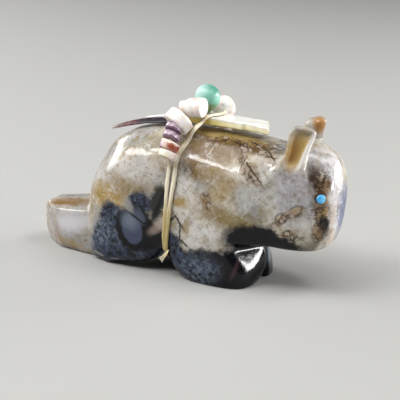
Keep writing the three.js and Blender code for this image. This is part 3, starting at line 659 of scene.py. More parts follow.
def lie_on_stone(middle, tilt):
    """Turn that lays a marking on the stone's skin: along, into the stone and up are its own axes."""
    if middle[1] == 0:
        out = np.array([0.0, -1, 0])
    else:
        out = slope(stone_field, np.array([middle]) - DRAWING_SHIFT)[1][0]
        out /= np.linalg.norm(out)
    level = np.array([-out[1], out[0], 0])
    if np.linalg.norm(level) < 0.45:
        level = np.array([1.0, 0, 0]) - out * out[0]
    level /= np.linalg.norm(level)
    up = np.cross(out, level)
    c, s = math.cos(math.radians(tilt)), math.sin(math.radians(tilt))
    return Matrix(np.stack([c * level + s * up, -out, c * up - s * level], 1).tolist()).to_euler()


def lie_along(start, end):
    """Middle, half length and turn of a vein between two points on the stone's skin."""
    a, b = np.array(start), np.array(end)
    out = slope(stone_field, ((a + b) / 2 - DRAWING_SHIFT)[None])[1][0]
    length = float(np.linalg.norm(b - a))
    along = (b - a) / length
    across = np.cross(along, out)
    across /= np.linalg.norm(across)
    turn = Matrix(np.stack([along, np.cross(across, along), across], 1).tolist()).to_euler()
    return tuple((a + b) / 2), length / 2, turn


SMOOTH = {"interpolation_type": "SMOOTHSTEP"}
COLOURS = {"data_type": "RGBA"}
TIMES = {"operation": "MULTIPLY"}


def in_millimetres(f):
    """Object coordinates of a piece in millimetres."""
    place = f.add("TexCoord").outputs["Object"]
    return f.add("VectorMath", {"operation": "SCALE"}, Vector=place, Scale=1000.0)


def drifted(f, start, source, amount):
    """Coordinates pushed about by a noise, so that edges wander."""
    centred = f.add("VectorMath", {"operation": "SUBTRACT"}, _0=source.outputs["Color"], _1=(0.5, 0.5, 0.5))
    pushed = f.add("VectorMath", {"operation": "SCALE"}, Vector=centred, Scale=amount)
    return f.add("VectorMath", {"operation": "ADD"}, _0=start, _1=pushed)


def patch(f, where, middle, half, turn, softness, strength=1.0):
    """1 inside an ellipsoid and 0 outside, with a soft edge."""
    reach = tuple(h * (1 + softness) for h in half)
    own = {"vector_type": "TEXTURE"}
    local = f.add("Mapping", own, Vector=where, Location=middle, Rotation=turn, Scale=reach)
    inward = f.add("TexGradient", {"gradient_type": "SPHERICAL"}, Vector=local).outputs[1]
    edge = 2 * softness / (1 + softness)
    return f.add("MapRange", SMOOTH, Value=inward, From_Min=0.0, From_Max=edge, To_Max=strength)


def stained(f, colour, shade, source, low, high, strength=1.0):
    """The colour with a shade laid over it where a pattern runs from low to high."""
    share = f.add("MapRange", SMOOTH, Value=source, From_Min=low, From_Max=high, To_Max=strength)
    return f.add("Mix", COLOURS, Factor=share, A=colour, B=shade)


def pebbled(f, colour, place, where):
    """Small rounded pebbles about 1 mm across, beige and rosy with dark outlines, on a brown bed."""
    rows = None
    for _, middle, half, tilt in PEBBLE_ROWS:
        one = patch(f, where, middle, half, lie_on_stone(middle, tilt), 0.35)
        rows = one if rows is None else f.add("Math", {"operation": "MAXIMUM"}, _0=rows, _1=one)
    bed = f.add("Math", TIMES, _0=rows, _1=0.5)
    colour = f.add("Mix", COLOURS, Factor=bed, A=colour, B=srgb(STONE["brown"]))
    cell = f.add("TexVoronoi", {"feature": "F1"}, Vector=place, Scale=0.68, Randomness=0.85)
    distance = cell.outputs["Distance"]
    kind = f.add("SeparateColor", None, Color=cell.outputs["Color"])
    inside = f.add("Mix", COLOURS, Factor=kind, A=srgb(STONE["beige"]), B=srgb(STONE["rosy"]))
    inside = stained(f, inside, srgb(STONE["pale"]), distance, 0.3, 0.0, 0.45)
    pebble = stained(f, inside, srgb(STONE["umber"]), distance, 0.36, 0.5)
    fade = f.add("MapRange", SMOOTH, Value=distance, From_Min=0.48, From_Max=0.72, To_Min=0.9, To_Max=0.0)
    chosen = f.add("MapRange", SMOOTH, Value=kind, From_Min=0.2, From_Max=0.35)
    share = f.add("Math", TIMES, _0=f.add("Math", TIMES, _0=rows, _1=fade), _1=chosen)
    return f.add("Mix", COLOURS, Factor=share, A=colour, B=pebble)


def limestone():
    """Cream and grey limestone with ochre clouds, blue-black zones and fine dark veins, ground and
    waxed to a deep gloss: hard bright window-like highlights over soft drifting colour, and a few
    highlights and reflections painted into its markings."""
    f = Finish("waxed marbled limestone", STONE["cream"], 0.16, 1.36)
    mm = in_millimetres(f)
    drift = f.add("TexNoise", None, Vector=mm, Scale=0.22, Detail=2.0)
    fray = f.add("TexNoise", None, Vector=mm, Scale=0.85, Detail=4.0, Roughness=0.62)
    soft_place = drifted(f, drifted(f, mm, drift, 3.0), fray, 1.6)
    ragged_place = drifted(f, drifted(f, mm, drift, 1.6), fray, 2.5)
    fine_place = drifted(f, mm, fray, 0.7)

    # Colours that vary within themselves, with frosty streaks about 1 mm across
    streaks = f.add("TexNoise", None, Vector=mm, Scale=0.6, Detail=7.0, Roughness=0.72, Distortion=0.6)
    frost = f.add("TexNoise", None, Vector=mm, Scale=1.1, Detail=7.0, Roughness=0.7)
    black = stained(f, srgb(STONE["black"]), srgb(STONE["night"]), streaks, 0.46, 0.6)
    dark = stained(f, srgb(STONE["night"]), srgb(STONE["slate"]), streaks, 0.4, 0.56)
    dark = stained(f, dark, srgb(STONE["steel"]), frost, 0.5, 0.7, 0.7)
    bluegrey = stained(f, srgb(STONE["night"]), srgb(STONE["slate"]), streaks, 0.4, 0.55)
    bluegrey = stained(f, bluegrey, srgb(STONE["steel"]), frost, 0.42, 0.62, 0.8)
    own = {"dark": dark, "black": black, "bluegrey": bluegrey}

    def shade_of(name):
        return own.get(name) or srgb(STONE[name])

    def laid(colour, markings, where, within=None):
        for _, name, middle, half, tilt, softness, strength in markings:
            share = patch(f, where, middle, half, lie_on_stone(middle, tilt), softness, strength)
            if within is not None:
                share = f.add("Math", TIMES, _0=share, _1=within)
            colour = f.add("Mix", COLOURS, Factor=share, A=colour, B=shade_of(name))
        return colour

    # Cloudy ground of the stone
    slow = f.add("TexNoise", None, Vector=mm, Scale=0.10, Detail=3.0)
    cloud = f.add("TexNoise", None, Vector=mm, Scale=0.3, Detail=5.0, Roughness=0.6)
    colour = stained(f, srgb(STONE["cream"]), srgb(STONE["grey"]), slow, 0.4, 0.6)
    colour = stained(f, colour, srgb(STONE["tan"]), cloud, 0.52, 0.72, 0.6)
    colour = stained(f, colour, srgb(STONE["pale"]), cloud, 0.46, 0.3, 0.6)
    colour = laid(colour, CLOUDS, soft_place)

    # Mottling: soft ochre, olive and pale flakes 1 to 3 mm across, then flecks of half a millimetre
    mottle = f.add("TexNoise", None, Vector=soft_place, Scale=0.5, Detail=6.0, Roughness=0.66, Distortion=0.4)
    flakes = f.add("TexNoise", None, Vector=mm, Scale=0.95, Detail=6.0, Roughness=0.7, Distortion=0.3)
    flecks = f.add("TexNoise", None, Vector=mm, Scale=1.8, Detail=4.0, Roughness=0.75)
    for name, pattern, low, high, strength in (
        ("olivegold", mottle, 0.5, 0.66, 0.6), ("pale", mottle, 0.47, 0.3, 0.6),
        ("brown", flakes, 0.52, 0.68, 0.6), ("pale", flakes, 0.47, 0.26, 0.5),
        ("umber", flecks, 0.56, 0.72, 0.55), ("pale", flecks, 0.44, 0.2, 0.35),
    ):
        colour = stained(f, colour, srgb(STONE[name]), pattern, low, high, strength)

    colour = laid(colour, DARKS, ragged_place)
    colour = laid(colour, LENSES, fine_place)
    specks = f.add("MapRange", SMOOTH, Value=frost, From_Min=0.42, From_Max=0.54)
    colour = laid(colour, SPECKLED, soft_place, specks)
    colour = pebbled(f, colour, drifted(f, mm, fray, 1.3), soft_place)
    for name, start, end, width in VEINS:
        middle, half_length, turn = lie_along(start, end)
        share = patch(f, fine_place, middle, (half_length * 1.24, 2.5, width), turn, 0.6, 0.85)
        colour = f.add("Mix", COLOURS, Factor=share, A=colour, B=shade_of(name))

    polish = f.add("TexNoise", None, Vector=mm, Scale=2.5, Detail=3.0)
    gloss = f.add("MapRange", SMOOTH, Value=polish, From_Min=0.3, From_Max=0.75, To_Min=0.06, To_Max=0.16)
    waves = f.add("TexNoise", None, Vector=mm, Scale=0.9, Detail=3.0)
    ripple = f.add("Bump", None, Strength=0.08, Distance=0.0002, Height=waves)
    f.set(Base_Color=colour, Roughness=gloss, Normal=ripple)
    return f.material


# Stone mesh
def carve_stone():
    xs = marks((-39.2, 19.0, 0.42), (19.0, 27.4, 0.26), (27.4, 34.0, 0.38))
    ys = marks((-13.6, 13.6, 0.37))
    zs = marks((-0.8, 26.0, 0.4), (26.0, 35.6, 0.26))
    points, quads = skin(stone_field, xs, ys, zs)
    points = settle(stone_field, points, reach=0.15, passes=4)
    points[:, 2] = np.maximum(points[:, 2], 0)
    piece = make_piece("beaver_stone", points + DRAWING_SHIFT, quads, limestone())
    finished(piece, "stone", "stone_beaver")


carve_stone()


# Small tools for the pieces of the bundle
def unit(v):
    return np.asarray(v, float) / np.linalg.norm(v)


def on_stone(point, height):
    """The place at a height above the stone's skin that is nearest to a point."""
    return settle(stone_field, [point], height)[0]


def facing_out(points):
    """Direction straight out of the stone at each point."""
    grad = slope(stone_field, points)[1]
    return grad / np.linalg.norm(grad, axis=1)[:, None]


def moulded(name, field, low, high, step, material, slot, node, turn=None, place=(0, 0, 0), **patterns):
    """A small piece cut from a field of its own, then turned and put in its place in the drawing.
    Patterns are values for each point that its material reads."""
    xs, ys, zs = (marks((a, b, step)) for a, b in zip(low, high))
    points, quads = skin(field, xs, ys, zs)
    points = settle(field, points, reach=0.1, passes=3)
    attributes = {key: rule(*points.T) for key, rule in patterns.items()}
    if turn is not None:
        points = points @ np.array(turn).T
    piece = make_piece(name, points + place + DRAWING_SHIFT, quads, material, attributes=attributes)
    finished(piece, slot, node)


def uneven(x, y, z, size, seed):
    """Gentle unevenness of hand-ground shell, between -1 and 1, about so many millimetres across."""
    total = np.zeros(np.broadcast(x, y, z).shape)
    rng = np.random.default_rng(seed)
    for _ in range(7):
        way = rng.normal(size=3)
        way *= 2 * math.pi / (np.linalg.norm(way) * size * rng.uniform(0.7, 1.5))
        total = total + np.sin(x * way[0] + y * way[1] + z * way[2] + rng.uniform(0, 6.3))
    return total / 4


# Node trees for what repeats or follows a path
VECTOR = {"data_type": "FLOAT_VECTOR"}
NUMBER = {"data_type": "FLOAT"}
VECTORS = {"data_type": "FLOAT_VECTOR", "domain": "POINT"}
NUMBERS = {"data_type": "FLOAT", "domain": "POINT"}


class Shaper:
    """A geometry node tree with named inputs for its sizes."""

    def __init__(self, name, **sizes):
        self.tree = bpy.data.node_groups.new(name, "GeometryNodeTree")
        self.tree.interface.new_socket("Geometry", in_out="INPUT", socket_type="NodeSocketGeometry")
        self.tree.interface.new_socket("Geometry", in_out="OUTPUT", socket_type="NodeSocketGeometry")
        self.sizes = sizes
        self.ids = {}
        for label, value in sizes.items():
            kind = "NodeSocketInt" if isinstance(value, int) else "NodeSocketFloat"
            socket = self.tree.interface.new_socket(label.replace("_", " "), in_out="INPUT", socket_type=kind)
            socket.default_value = value
            self.ids[label] = socket.identifier
        self.input = self.tree.nodes.new("NodeGroupInput").outputs

    def add(self, kind, settings=None, **inputs):
        families = ("GeometryNode", "ShaderNode", "FunctionNode")
        family = next(f for f in families if hasattr(bpy.types, f + kind))
        return add_node(self.tree, family + kind, settings, inputs)

    def end(self, geometry, material):
        """Closes the tree: instances made real, shaded smooth, with their material."""
        real = self.add("RealizeInstances", None, Geometry=geometry)
        smooth = self.add("SetShadeSmooth", None, Geometry=real)
        done = self.add("SetMaterial", None, Geometry=smooth, Material=material)
        add_node(self.tree, "NodeGroupOutput", None, {"Geometry": done})

    def run(self, name, points, edges, attributes, **sizes):
        """Runs the tree on marks given in the drawing and returns the result as a plain mesh object."""
        mesh = bpy.data.meshes.new(name)
        mesh.from_pydata([tuple((np.array(p) + DRAWING_SHIFT) * MM) for p in points], edges, [])
        for key, values in attributes.items():
            values = np.asarray(values, np.float32)
            wide = values.ndim > 1
            layer = mesh.attributes.new(key, "FLOAT_VECTOR" if wide else "FLOAT", "POINT")
            layer.data.foreach_set("vector" if wide else "value", values.ravel())
        start = bpy.data.objects.new(name, mesh)
        bpy.context.scene.collection.objects.link(start)
        modifier = start.modifiers.new("shape", "NODES")
        modifier.node_group = self.tree
        for label, value in {**self.sizes, **sizes}.items():
            modifier[self.ids[label]] = value
        graph = bpy.context.evaluated_depsgraph_get()
        result = bpy.data.meshes.new_from_object(start.evaluated_get(graph))
        start.modifiers.remove(modifier)
        bpy.data.objects.remove(start)
        result.name = name
        work = bmesh.new()
        work.from_mesh(result)
        bmesh.ops.remove_doubles(work, verts=work.verts, dist=0.004 * MM)
        bmesh.ops.recalc_face_normals(work, faces=work.faces)
        work.to_mesh(result)
        work.free()
        piece = bpy.data.objects.new(name, result)
        bpy.context.scene.collection.objects.link(piece)
        return piece


# Shell finishes
def nacre(name, pearl, blush):
    """Mother-of-pearl, ground and polished: milky white with faint pink and green drifting sheen and
    fine growth lines, so its highlights are soft and slightly coloured."""
    f = Finish(name, pearl, 0.22, 1.53, Subsurface_Weight=0.15)
    f.set(Subsurface_Radius=(1.0, 0.9, 0.8), Subsurface_Scale=0.0006)
    mm = in_millimetres(f)
    drift = f.add("TexNoise", None, Vector=mm, Scale=0.45, Detail=3.0, Distortion=0.8)
    tint = f.add("TexNoise", None, Vector=mm, Scale=0.8, Detail=2.0)
    colour = stained(f, srgb(pearl), srgb(blush), drift, 0.45, 0.62, 0.9)
    colour = stained(f, colour, srgb("cfd4cd"), drift, 0.44, 0.33, 0.7)
    colour = stained(f, colour, srgb("e0d2b0"), tint, 0.52, 0.7, 0.8)
    layer = f.add("Attribute", {"attribute_name": "layer"})
    lines = f.add("TexNoise", {"noise_dimensions": "1D"}, W=layer.outputs["Fac"], Scale=7.0, Detail=3.0)
    colour = stained(f, colour, srgb("c9bcb4"), lines, 0.55, 0.7, 0.45)
    f.set(Base_Color=colour, Normal=f.add("Bump", None, Strength=0.2, Distance=0.0001, Height=lines))
    return f.material


def spear_shell():
    """Gold-lip shell plate: creamy white polished face, yellow where the light soaks through its thin
    near edge, with the growth layers as fine lines along the edge."""
    f = Finish("gold-lip pearl shell", "eee6c8", 0.2, 1.53, Subsurface_Weight=0.2)
    f.set(Subsurface_Radius=(1.0, 0.85, 0.4), Subsurface_Scale=0.0008)
    mm = in_millimetres(f)
    depth = f.add("Attribute", {"attribute_name": "depth"}).outputs["Fac"]
    along = f.add("Attribute", {"attribute_name": "along"}).outputs["Fac"]
    drift = f.add("TexNoise", None, Vector=mm, Scale=0.35, Detail=4.0)
    wander = f.add("Math", TIMES, _0=drift, _1=0.5)
    sunk = f.add("Math", {"operation": "ADD"}, _0=depth, _1=wander)
    edge = stained(f, srgb("ead66a"), srgb("efe8be"), along, 1.0, 9.0)
    colour = stained(f, srgb("dbd8d2"), edge, sunk, 0.36, 0.7, 0.95)
    colour = stained(f, colour, srgb("c4ad58"), sunk, 1.0, 1.2, 0.7)
    colour = stained(f, colour, srgb("c9c8ca"), along, -2.0, -7.0, 0.9)
    lines = f.add("TexNoise", {"noise_dimensions": "1D"}, W=depth, Scale=9.0, Detail=2.0)
    colour = stained(f, colour, srgb("b8a468"), lines, 0.58, 0.72, 0.4)
    f.set(Base_Color=colour, Normal=f.add("Bump", None, Strength=0.25, Distance=0.0001, Height=lines))
    return f.material


def dark_shell():
    """Dark pen shell, polished thin: purple-black and glassy near the bundle, wine red towards the
    point where light comes through, with a streak of greyer sheen."""
    f = Finish("polished dark pen shell", "45303c", 0.32, 1.42)
    mm = in_millimetres(f)
    along = f.add("Attribute", {"attribute_name": "along"}).outputs["Fac"]
    grain = f.add("TexNoise", None, Vector=mm, Scale=0.7, Detail=5.0, Distortion=0.5)
    colour = stained(f, srgb("1d1820"), srgb("4f211f"), along, 9.5, 4.0, 1.0)
    colour = stained(f, colour, srgb("8f857d"), along, 2.4, 0.4, 0.7)
    colour = stained(f, colour, srgb("7d5a5c"), grain, 0.54, 0.7, 0.5)
    colour = stained(f, colour, srgb("241a26"), grain, 0.46, 0.34, 0.8)
    f.set(Base_Color=colour)
    return f.material


def red_shell():
    """Spiny oyster shell: brick orange-red body between chalky pale rims, with a purple stain on one
    side, ground smooth but not glassy."""
    f = Finish("ground spiny oyster shell", "a44d2d", 0.3, 1.53)
    mm = in_millimetres(f)
    layer = f.add("Attribute", {"attribute_name": "layer"}).outputs["Fac"]
    grain = f.add("TexNoise", None, Vector=mm, Scale=0.9, Detail=5.0)
    place = drifted(f, mm, grain, 1.4)
    edge = f.add("Math", {"operation": "ADD"}, _0=layer, _1=f.add("Math", TIMES, _0=grain, _1=0.5))
    colour = stained(f, srgb("cdb8ab"), srgb("b98f7a"), grain, 0.42, 0.6, 0.8)
    red = stained(f, srgb("7f331c"), srgb("a85836"), grain, 0.45, 0.65, 0.9)
    body = patch(f, place, (2.4, -11.4, 28.2), (2.1, 2.6, 0.85), (0, 0.3, 0), 0.4)
    colour = f.add("Mix", COLOURS, Factor=body, A=colour, B=red)
    colour = stained(f, colour, srgb("dccdc0"), edge, 0.46, 0.58, 0.9)
    left = patch(f, place, (-1.3, -10.9, 28.2), (1.0, 2.0, 1.4), (0, 0, 0), 0.5, 0.9)
    colour = f.add("Mix", COLOURS, Factor=left, A=colour, B=srgb("84667e"))
    f.set(Base_Color=colour)
    return f.material


def purple_shell():
    """Quahog shell beads: violet and white growth bands across each disc, polished like porcelain."""
    f = Finish("polished quahog shell", "9c8495", 0.22, 1.53)
    mm = in_millimetres(f)
    layer = f.add("Attribute", {"attribute_name": "layer"}).outputs["Fac"]
    grain = f.add("TexNoise", None, Vector=mm, Scale=0.8, Detail=4.0)
    wavy = f.add("Math", {"operation": "ADD"}, _0=layer, _1=f.add("Math", TIMES, _0=grain, _1=0.45))
    bands = f.add("TexNoise", {"noise_dimensions": "1D"}, W=wavy, Scale=4.5, Detail=2.0)
    colour = stained(f, srgb("775a70"), srgb("bfaab4"), bands, 0.46, 0.62, 0.9)
    colour = stained(f, colour, srgb("4f3550"), bands, 0.43, 0.32, 0.9)
    f.set(Base_Color=colour)
    return f.material


def nugget_turquoise():
    """Tumbled green turquoise: waxy, sea green over most of it, with a painted highlight of pale sky blue on
    its upper left, olive near its foot and a few faint brown matrix specks."""
    f = Finish("tumbled green turquoise", "6fb79f", 0.36, 1.5)
    mm = in_millimetres(f)
    wander = f.add("TexNoise", None, Vector=mm, Scale=0.5, Detail=3.0)
    place = drifted(f, mm, wander, 1.0)
    # Painted highlight: pale sky blue over the upper left of the nugget
    pale = patch(f, place, (1.5, -0.6, 37.9), (1.8, 3.2, 2.0), (0, 0, 0), 0.8, 0.7)
    olive = patch(f, place, (3.7, -0.8, 34.2), (2.6, 3.2, 1.2), (0, 0, 0), 0.7, 0.95)
    colour = stained(f, srgb("468a76"), srgb("79b3a1"), wander, 0.42, 0.62, 0.8)
    colour = f.add("Mix", COLOURS, Factor=pale, A=colour, B=srgb("c4dbda"))
    colour = f.add("Mix", COLOURS, Factor=olive, A=colour, B=srgb("6d7a3c"))
    specks = f.add("TexNoise", None, Vector=mm, Scale=2.2, Detail=4.0, Roughness=0.7)
    colour = stained(f, colour, srgb("7a7a52"), specks, 0.62, 0.78, 0.5)
    f.set(Base_Color=colour, Normal=f.add("Bump", None, Strength=0.15, Distance=0.0002, Height=wander))
    return f.material


def eye_turquoise():
    """Sky-blue turquoise inlay: clear blue, smoothly polished, very slightly cloudy."""
    f = Finish("polished sky-blue turquoise", "4fb4e8", 0.25, 1.6)
    cloud = f.add("TexNoise", None, Vector=in_millimetres(f), Scale=1.6, Detail=3.0)
    colour = stained(f, srgb("3795d0"), srgb("62b6e0"), cloud, 0.42, 0.62, 0.9)
    f.set(Base_Color=colour)
    return f.material


def waxed_sinew():
    """Artificial sinew: a flat bundle of waxed fibres, cream to straw, with tan streaks along it where the
    wax has darkened and a dull waxy sheen. Painted shade turns it straw brown low on the stone, on the
    second turn and at the cut ends, and the bead cord is painted a little darker."""
    f = Finish("waxed artificial sinew", "d8cca6", 0.5, 1.5, Sheen_Weight=0.1)
    fibres = f.add("Attribute", {"attribute_name": "fibres"}).outputs["Vector"]
    strands = f.add("TexNoise", None, Vector=fibres, Scale=1.0, Detail=3.0, Roughness=0.6)
    worn = f.add("TexNoise", None, Vector=in_millimetres(f), Scale=0.35, Detail=3.0)
    shade_and_darkening = f.add("Attribute", {"attribute_name": "shade_and_darkening"}).outputs["Fac"]
    colour = stained(f, srgb("eae0c8"), srgb("b8a47a"), strands, 0.5, 0.66, 0.75)
    colour = stained(f, colour, srgb("f6f0e0"), strands, 0.44, 0.32, 0.8)
    colour = stained(f, colour, srgb("bca772"), worn, 0.5, 0.68, 0.4)
    # Painted shade, straw brown: low on the stone, on the second turn and the cut ends, a little on the bead
    # cord
    colour = stained(f, colour, srgb("a38d42"), shade_and_darkening, 0.15, 0.85, 0.8)
    f.set(Base_Color=colour, Normal=f.add("Bump", None, Strength=0.5, Distance=0.0001, Height=strands))
    return f.material


# Beads: name of the CAD node, centre in the drawing, axis, radius and thickness
BEADS = {
    "white_shell": [
        ("bead_white_large", (-2.7, -6.6, 32.3), (0.45, 0.6, 0.66), 2.95, 2.7),
    ],
    "top_shell": [
        ("bead_stack_left", (-2.55, -3.9, 34.45), (1, 0.1, 0.25), 1.65, 1.7),
        ("bead_stack_middle", (-0.9, -4.0, 34.85), (1, 0, 0.15), 1.95, 1.7),
        ("bead_stack_right", (0.8, -4.1, 35.1), (1, -0.1, 0.05), 2.0, 1.7),
    ],
    "low_shell": [("bead_white_lower", (-2.35, -11.5, 26.35), (0.2, 0.45, 0.87), 2.0, 1.55)],
    "far_shell": [
        ("bead_white_far", (2.1, 5.0, 33.5), (-0.1, 0.78, -0.62), 2.4, 2.5),
        ("bead_pink_far", (1.5, 7.4, 31.4), (-0.2, 0.7, -0.68), 1.8, 1.6),
    ],
    "red_shell": [("bead_red_shell", (-2.5, -10.9, 28.0), (0.2, 0.5, 0.85), 2.05, 1.9)],
    "purple_shell": [
        ("bead_purple_lower", (-2.75, -9.6, 29.75), (0.15, 0.65, 0.75), 1.75, 1.4),
        ("bead_purple_upper", (-2.85, -8.4, 31.1), (0.15, 0.7, 0.7), 1.75, 1.4),
    ],
}
UNDRILLED = ("top_shell", "far_shell")  # their holes don't show
BEAD_HOLE = 0.24  # share of the radius
BEAD_EDGE = 0.18  # rounding of the rim, as a share of the radius


def bead_shaper(material):
    """Disc beads: a rounded ring turned round its axis, set on each point with its turn and size, and
    left a little uneven as hand-ground beads are."""
    s = Shaper("disc beads", Hole=0.3, Edge=0.16, Rim_Steps=56, Unevenness=0.00008, Seed=3)
    inner = s.input["Hole"]
    width = s.add("Math", {"operation": "SUBTRACT"}, _0=1.0, _1=inner)
    middle = s.add("Math", {"operation": "MULTIPLY_ADD"}, _0=width, _1=0.5, _2=inner)
    ring = s.add("CurvePrimitiveCircle", None, Resolution=s.input["Rim Steps"], Radius=middle)
    section = s.add("CurvePrimitiveQuadrilateral", None, Width=width, Height=1.0)
    rounded = s.add("FilletCurve", {"mode": "POLY"}, Curve=section, Radius=s.input["Edge"], Count=4)
    bead = s.add("CurveToMesh", None, Curve=ring.outputs["Curve"], Profile_Curve=rounded)
    place = s.add("InputPosition")
    layer = s.add("SeparateXYZ", None, Vector=place).outputs["Z"]
    bead = s.add("StoreNamedAttribute", NUMBERS, Geometry=bead, Name="layer", Value=layer)
    rotation = s.add("EulerToRotation", None, Euler=s.add("InputNamedAttribute", VECTOR, Name="turn"))
    size = s.add("InputNamedAttribute", VECTOR, Name="size")
    start = s.input["Geometry"]
    beads = s.add("InstanceOnPoints", None, Points=start, Instance=bead, Rotation=rotation, Scale=size)
    real = s.add("RealizeInstances", None, Geometry=beads)
    seed = s.input["Seed"]
    lump = s.add("TexNoise", {"noise_dimensions": "4D"}, Vector=place, W=seed, Scale=700.0, Detail=2.0)
    centred = s.add("VectorMath", {"operation": "SUBTRACT"}, _0=lump.outputs["Color"], _1=(0.5, 0.5, 0.5))
    push = s.add("VectorMath", {"operation": "SCALE"}, Vector=centred, Scale=s.input["Unevenness"])
    push = s.add("VectorMath", {"operation": "SCALE"}, Vector=push, Scale=4.0)
    s.end(s.add("SetPosition", None, Geometry=real, Offset=push), material)
    return s


def string_beads():
    pearl = nacre("polished mother-of-pearl", "e4e0dc", "d8c6c4")
    ivory = nacre("worn ivory-coloured shell", "d2cac0", "c6aca2")
    finishes = {"low_shell": ivory, "red_shell": red_shell(), "purple_shell": purple_shell()}
    for group, beads in BEADS.items():
        names, centres, axes, radii, thicks = zip(*beads)
        turns = [tuple(Vector(axis).to_track_quat("Z", "Y").to_euler()) for axis in axes]
        sizes = [(radius * MM, radius * MM, thick * MM) for radius, thick in zip(radii, thicks)]
        hole = 0.0 if group in UNDRILLED else BEAD_HOLE
        slot = group if group in ("red_shell", "purple_shell") else "white_shell"
        shaper = bead_shaper(finishes.get(group, pearl))
        attributes = {"turn": turns, "size": sizes}
        piece = shaper.run("beads_" + group, centres, [], attributes, Hole=hole, Edge=BEAD_EDGE)
        finished(piece, slot, *names)


string_beads()

# Shell spearhead and the dark point
SPEAR = [
    (-13.6, 0.6), (-10.0, -1.2), (-5.0, -2.4), (0.0, -2.9), (5.0, -3.0), (9.6, -3.0), (10.0, -2.6),
    (15.3, -2.9), (13.3, 2.2), (9.0, 2.3), (4.0, 2.3), (-1.0, 2.1), (-5.0, 1.9), (-9.0, 1.4),
]
SPEAR_THICKNESS = 1.7
POINT = [
    (-0.3, -0.25), (0.3, -0.5), (3, -0.75), (7, -0.65), (11, -0.4), (14, -0.25), (14, 1.3), (12, 1.65),
    (8, 1.4), (3, 0.85), (0.4, 0.6), (-0.2, 0.35),
]
POINT_THICKNESS = 0.8
POINT_TURN = (0.42, -0.25, -0.13)
POINT_PLACE = (-20.4, -1.3, 27.6)
NUGGET_PLACE = (0.3, 0.5, 36.08)
NUGGET_HALF = (2.65, 2.5, 2.95)


def spear_thickness(x):
    return SPEAR_THICKNESS * (1 - 0.35 * smoothstep(-x, 0, 6) - 0.3 * smoothstep(-x, 9, 13.6))


def spear_depth(x, y, z):
    """How far down through the plate a point is: 0 at the top face and 1 at the bottom."""
    rise = 32.25 - np.where(x > 3, 0.0026, 0.0078) * (x - 3) ** 2
    return 0.5 - (z - rise) / spear_thickness(x)


def lay_spear():
    outline = Outline(np.array(SPEAR), 2.0)

    def plate(x, y, z):
        flakes = 0.10 * uneven(x, y, z, 2.2, 5)
        face = (np.abs(spear_depth(x, y, z) - 0.5) - 0.5) * spear_thickness(x)
        return soft_max(outline.at(x, y) + flakes, face + 0.4 * flakes, 0.5)

    moulded(
        "spearhead", plate, (-14.2, -3.6, 29.4), (16.0, 3.0, 33.6), 0.17, spear_shell(), "gold_shell",
        "shell_spearhead", depth=spear_depth, along=lambda x, y, z: x,
    )


def lay_dark_point():
    outline = Outline(np.array(POINT), 2.0)

    def blade(x, y, z):
        edge = outline.at(x, y) + 0.06 * uneven(x, y, z, 1.6, 8)
        thick = POINT_THICKNESS * (0.75 + 0.25 * smoothstep(x, 0, 6))
        thick = thick * (0.45 + 0.55 * smoothstep(-edge, 0, 1.0))
        arched = z - 0.3 + 0.012 * (x - 7) ** 2
        return soft_max(edge, np.abs(arched) - thick / 2, 0.3)

    a, b, c = POINT_TURN
    turn = Matrix.Rotation(c, 3, "Z") @ Matrix.Rotation(b, 3, "Y") @ Matrix.Rotation(a, 3, "X")
    moulded(
        "dark_point", blade, (-0.6, -2.3, -1.1), (14.6, 2.3, 0.9), 0.11, dark_shell(), "dark_shell",
        "dark_shell_point", turn, POINT_PLACE, along=lambda x, y, z: x,
    )


def lay_nugget():
    def stone_nugget(x, y, z):
        u, v, w = x / NUGGET_HALF[0], y / NUGGET_HALF[1], z / NUGGET_HALF[2]
        narrow = 1 + 0.34 * smoothstep(-w, 0.0, 1.0)
        round_size = (np.abs(u * narrow) ** 2.2 + np.abs(v * narrow) ** 2.2 + np.abs(w) ** 2.2) ** (1 / 2.2)
        return (round_size - 0.97) * 2.5 + 0.09 * uneven(x, y, z, 3.4, 4)

    reach = tuple(h + 0.4 for h in NUGGET_HALF)
    moulded(
        "nugget", stone_nugget, tuple(-r for r in reach), reach, 0.13, nugget_turquoise(), "green_turquoise",
        "turquoise_nugget", place=NUGGET_PLACE,
    )


lay_spear()
lay_dark_point()
lay_nugget()

# Eyes
EYE_PLACE = (28.75, 7.3, 21.25)
EYE_OUT = (0.62, 0.77, 0.12)
EYE_PROFILE = [
    (0.0, 0.16), (0.33, 0.15), (0.65, 0.1), (0.84, 0.03), (0.93, -0.06), (0.95, -0.2), (0.95, -1.2),
    (0.0, -1.2),
]
EYE_STEPS = 40  # points round a plug


def set_eye(name, node, side_sign, material):
    """A plug turned from turquoise: a low dome, a softened edge and a shank that reaches into the stone."""
    out = unit(np.array(EYE_OUT) * (1, side_sign, 1))
    face = on_stone(np.array(EYE_PLACE) * (1, side_sign, 1), 0.0)
    level = unit(np.cross((0, 0, 1), out))
    up = np.cross(out, level)
    steps = EYE_STEPS
    points, faces = [], []
    rings = [p for p in EYE_PROFILE if p[0] > 0]
    for radius, height in rings:
        for n in range(steps):
            angle = 2 * math.pi * n / steps
            points.append(face + out * height + (level * math.cos(angle) + up * math.sin(angle)) * radius)
    for k in range(len(rings) - 1):
        for n in range(steps):
            a, b = k * steps + n, k * steps + (n + 1) % steps
            faces.append((a, a + steps, b + steps, b))
    points += [face + out * EYE_PROFILE[0][1], face + out * EYE_PROFILE[-1][1]]
    last = (len(rings) - 1) * steps
    for n in range(steps):
        faces.append((n, (n + 1) % steps, len(points) - 2))
        faces.append((last + (n + 1) % steps, last + n, len(points) - 1))
    piece = make_piece(name, np.array(points) + DRAWING_SHIFT, faces, material)
    finished(piece, "blue_turquoise", node)


eye_finish = eye_turquoise()
set_eye("right_eye", "eye_right", -1, eye_finish)
set_eye("left_eye", "eye_left", 1, eye_finish)

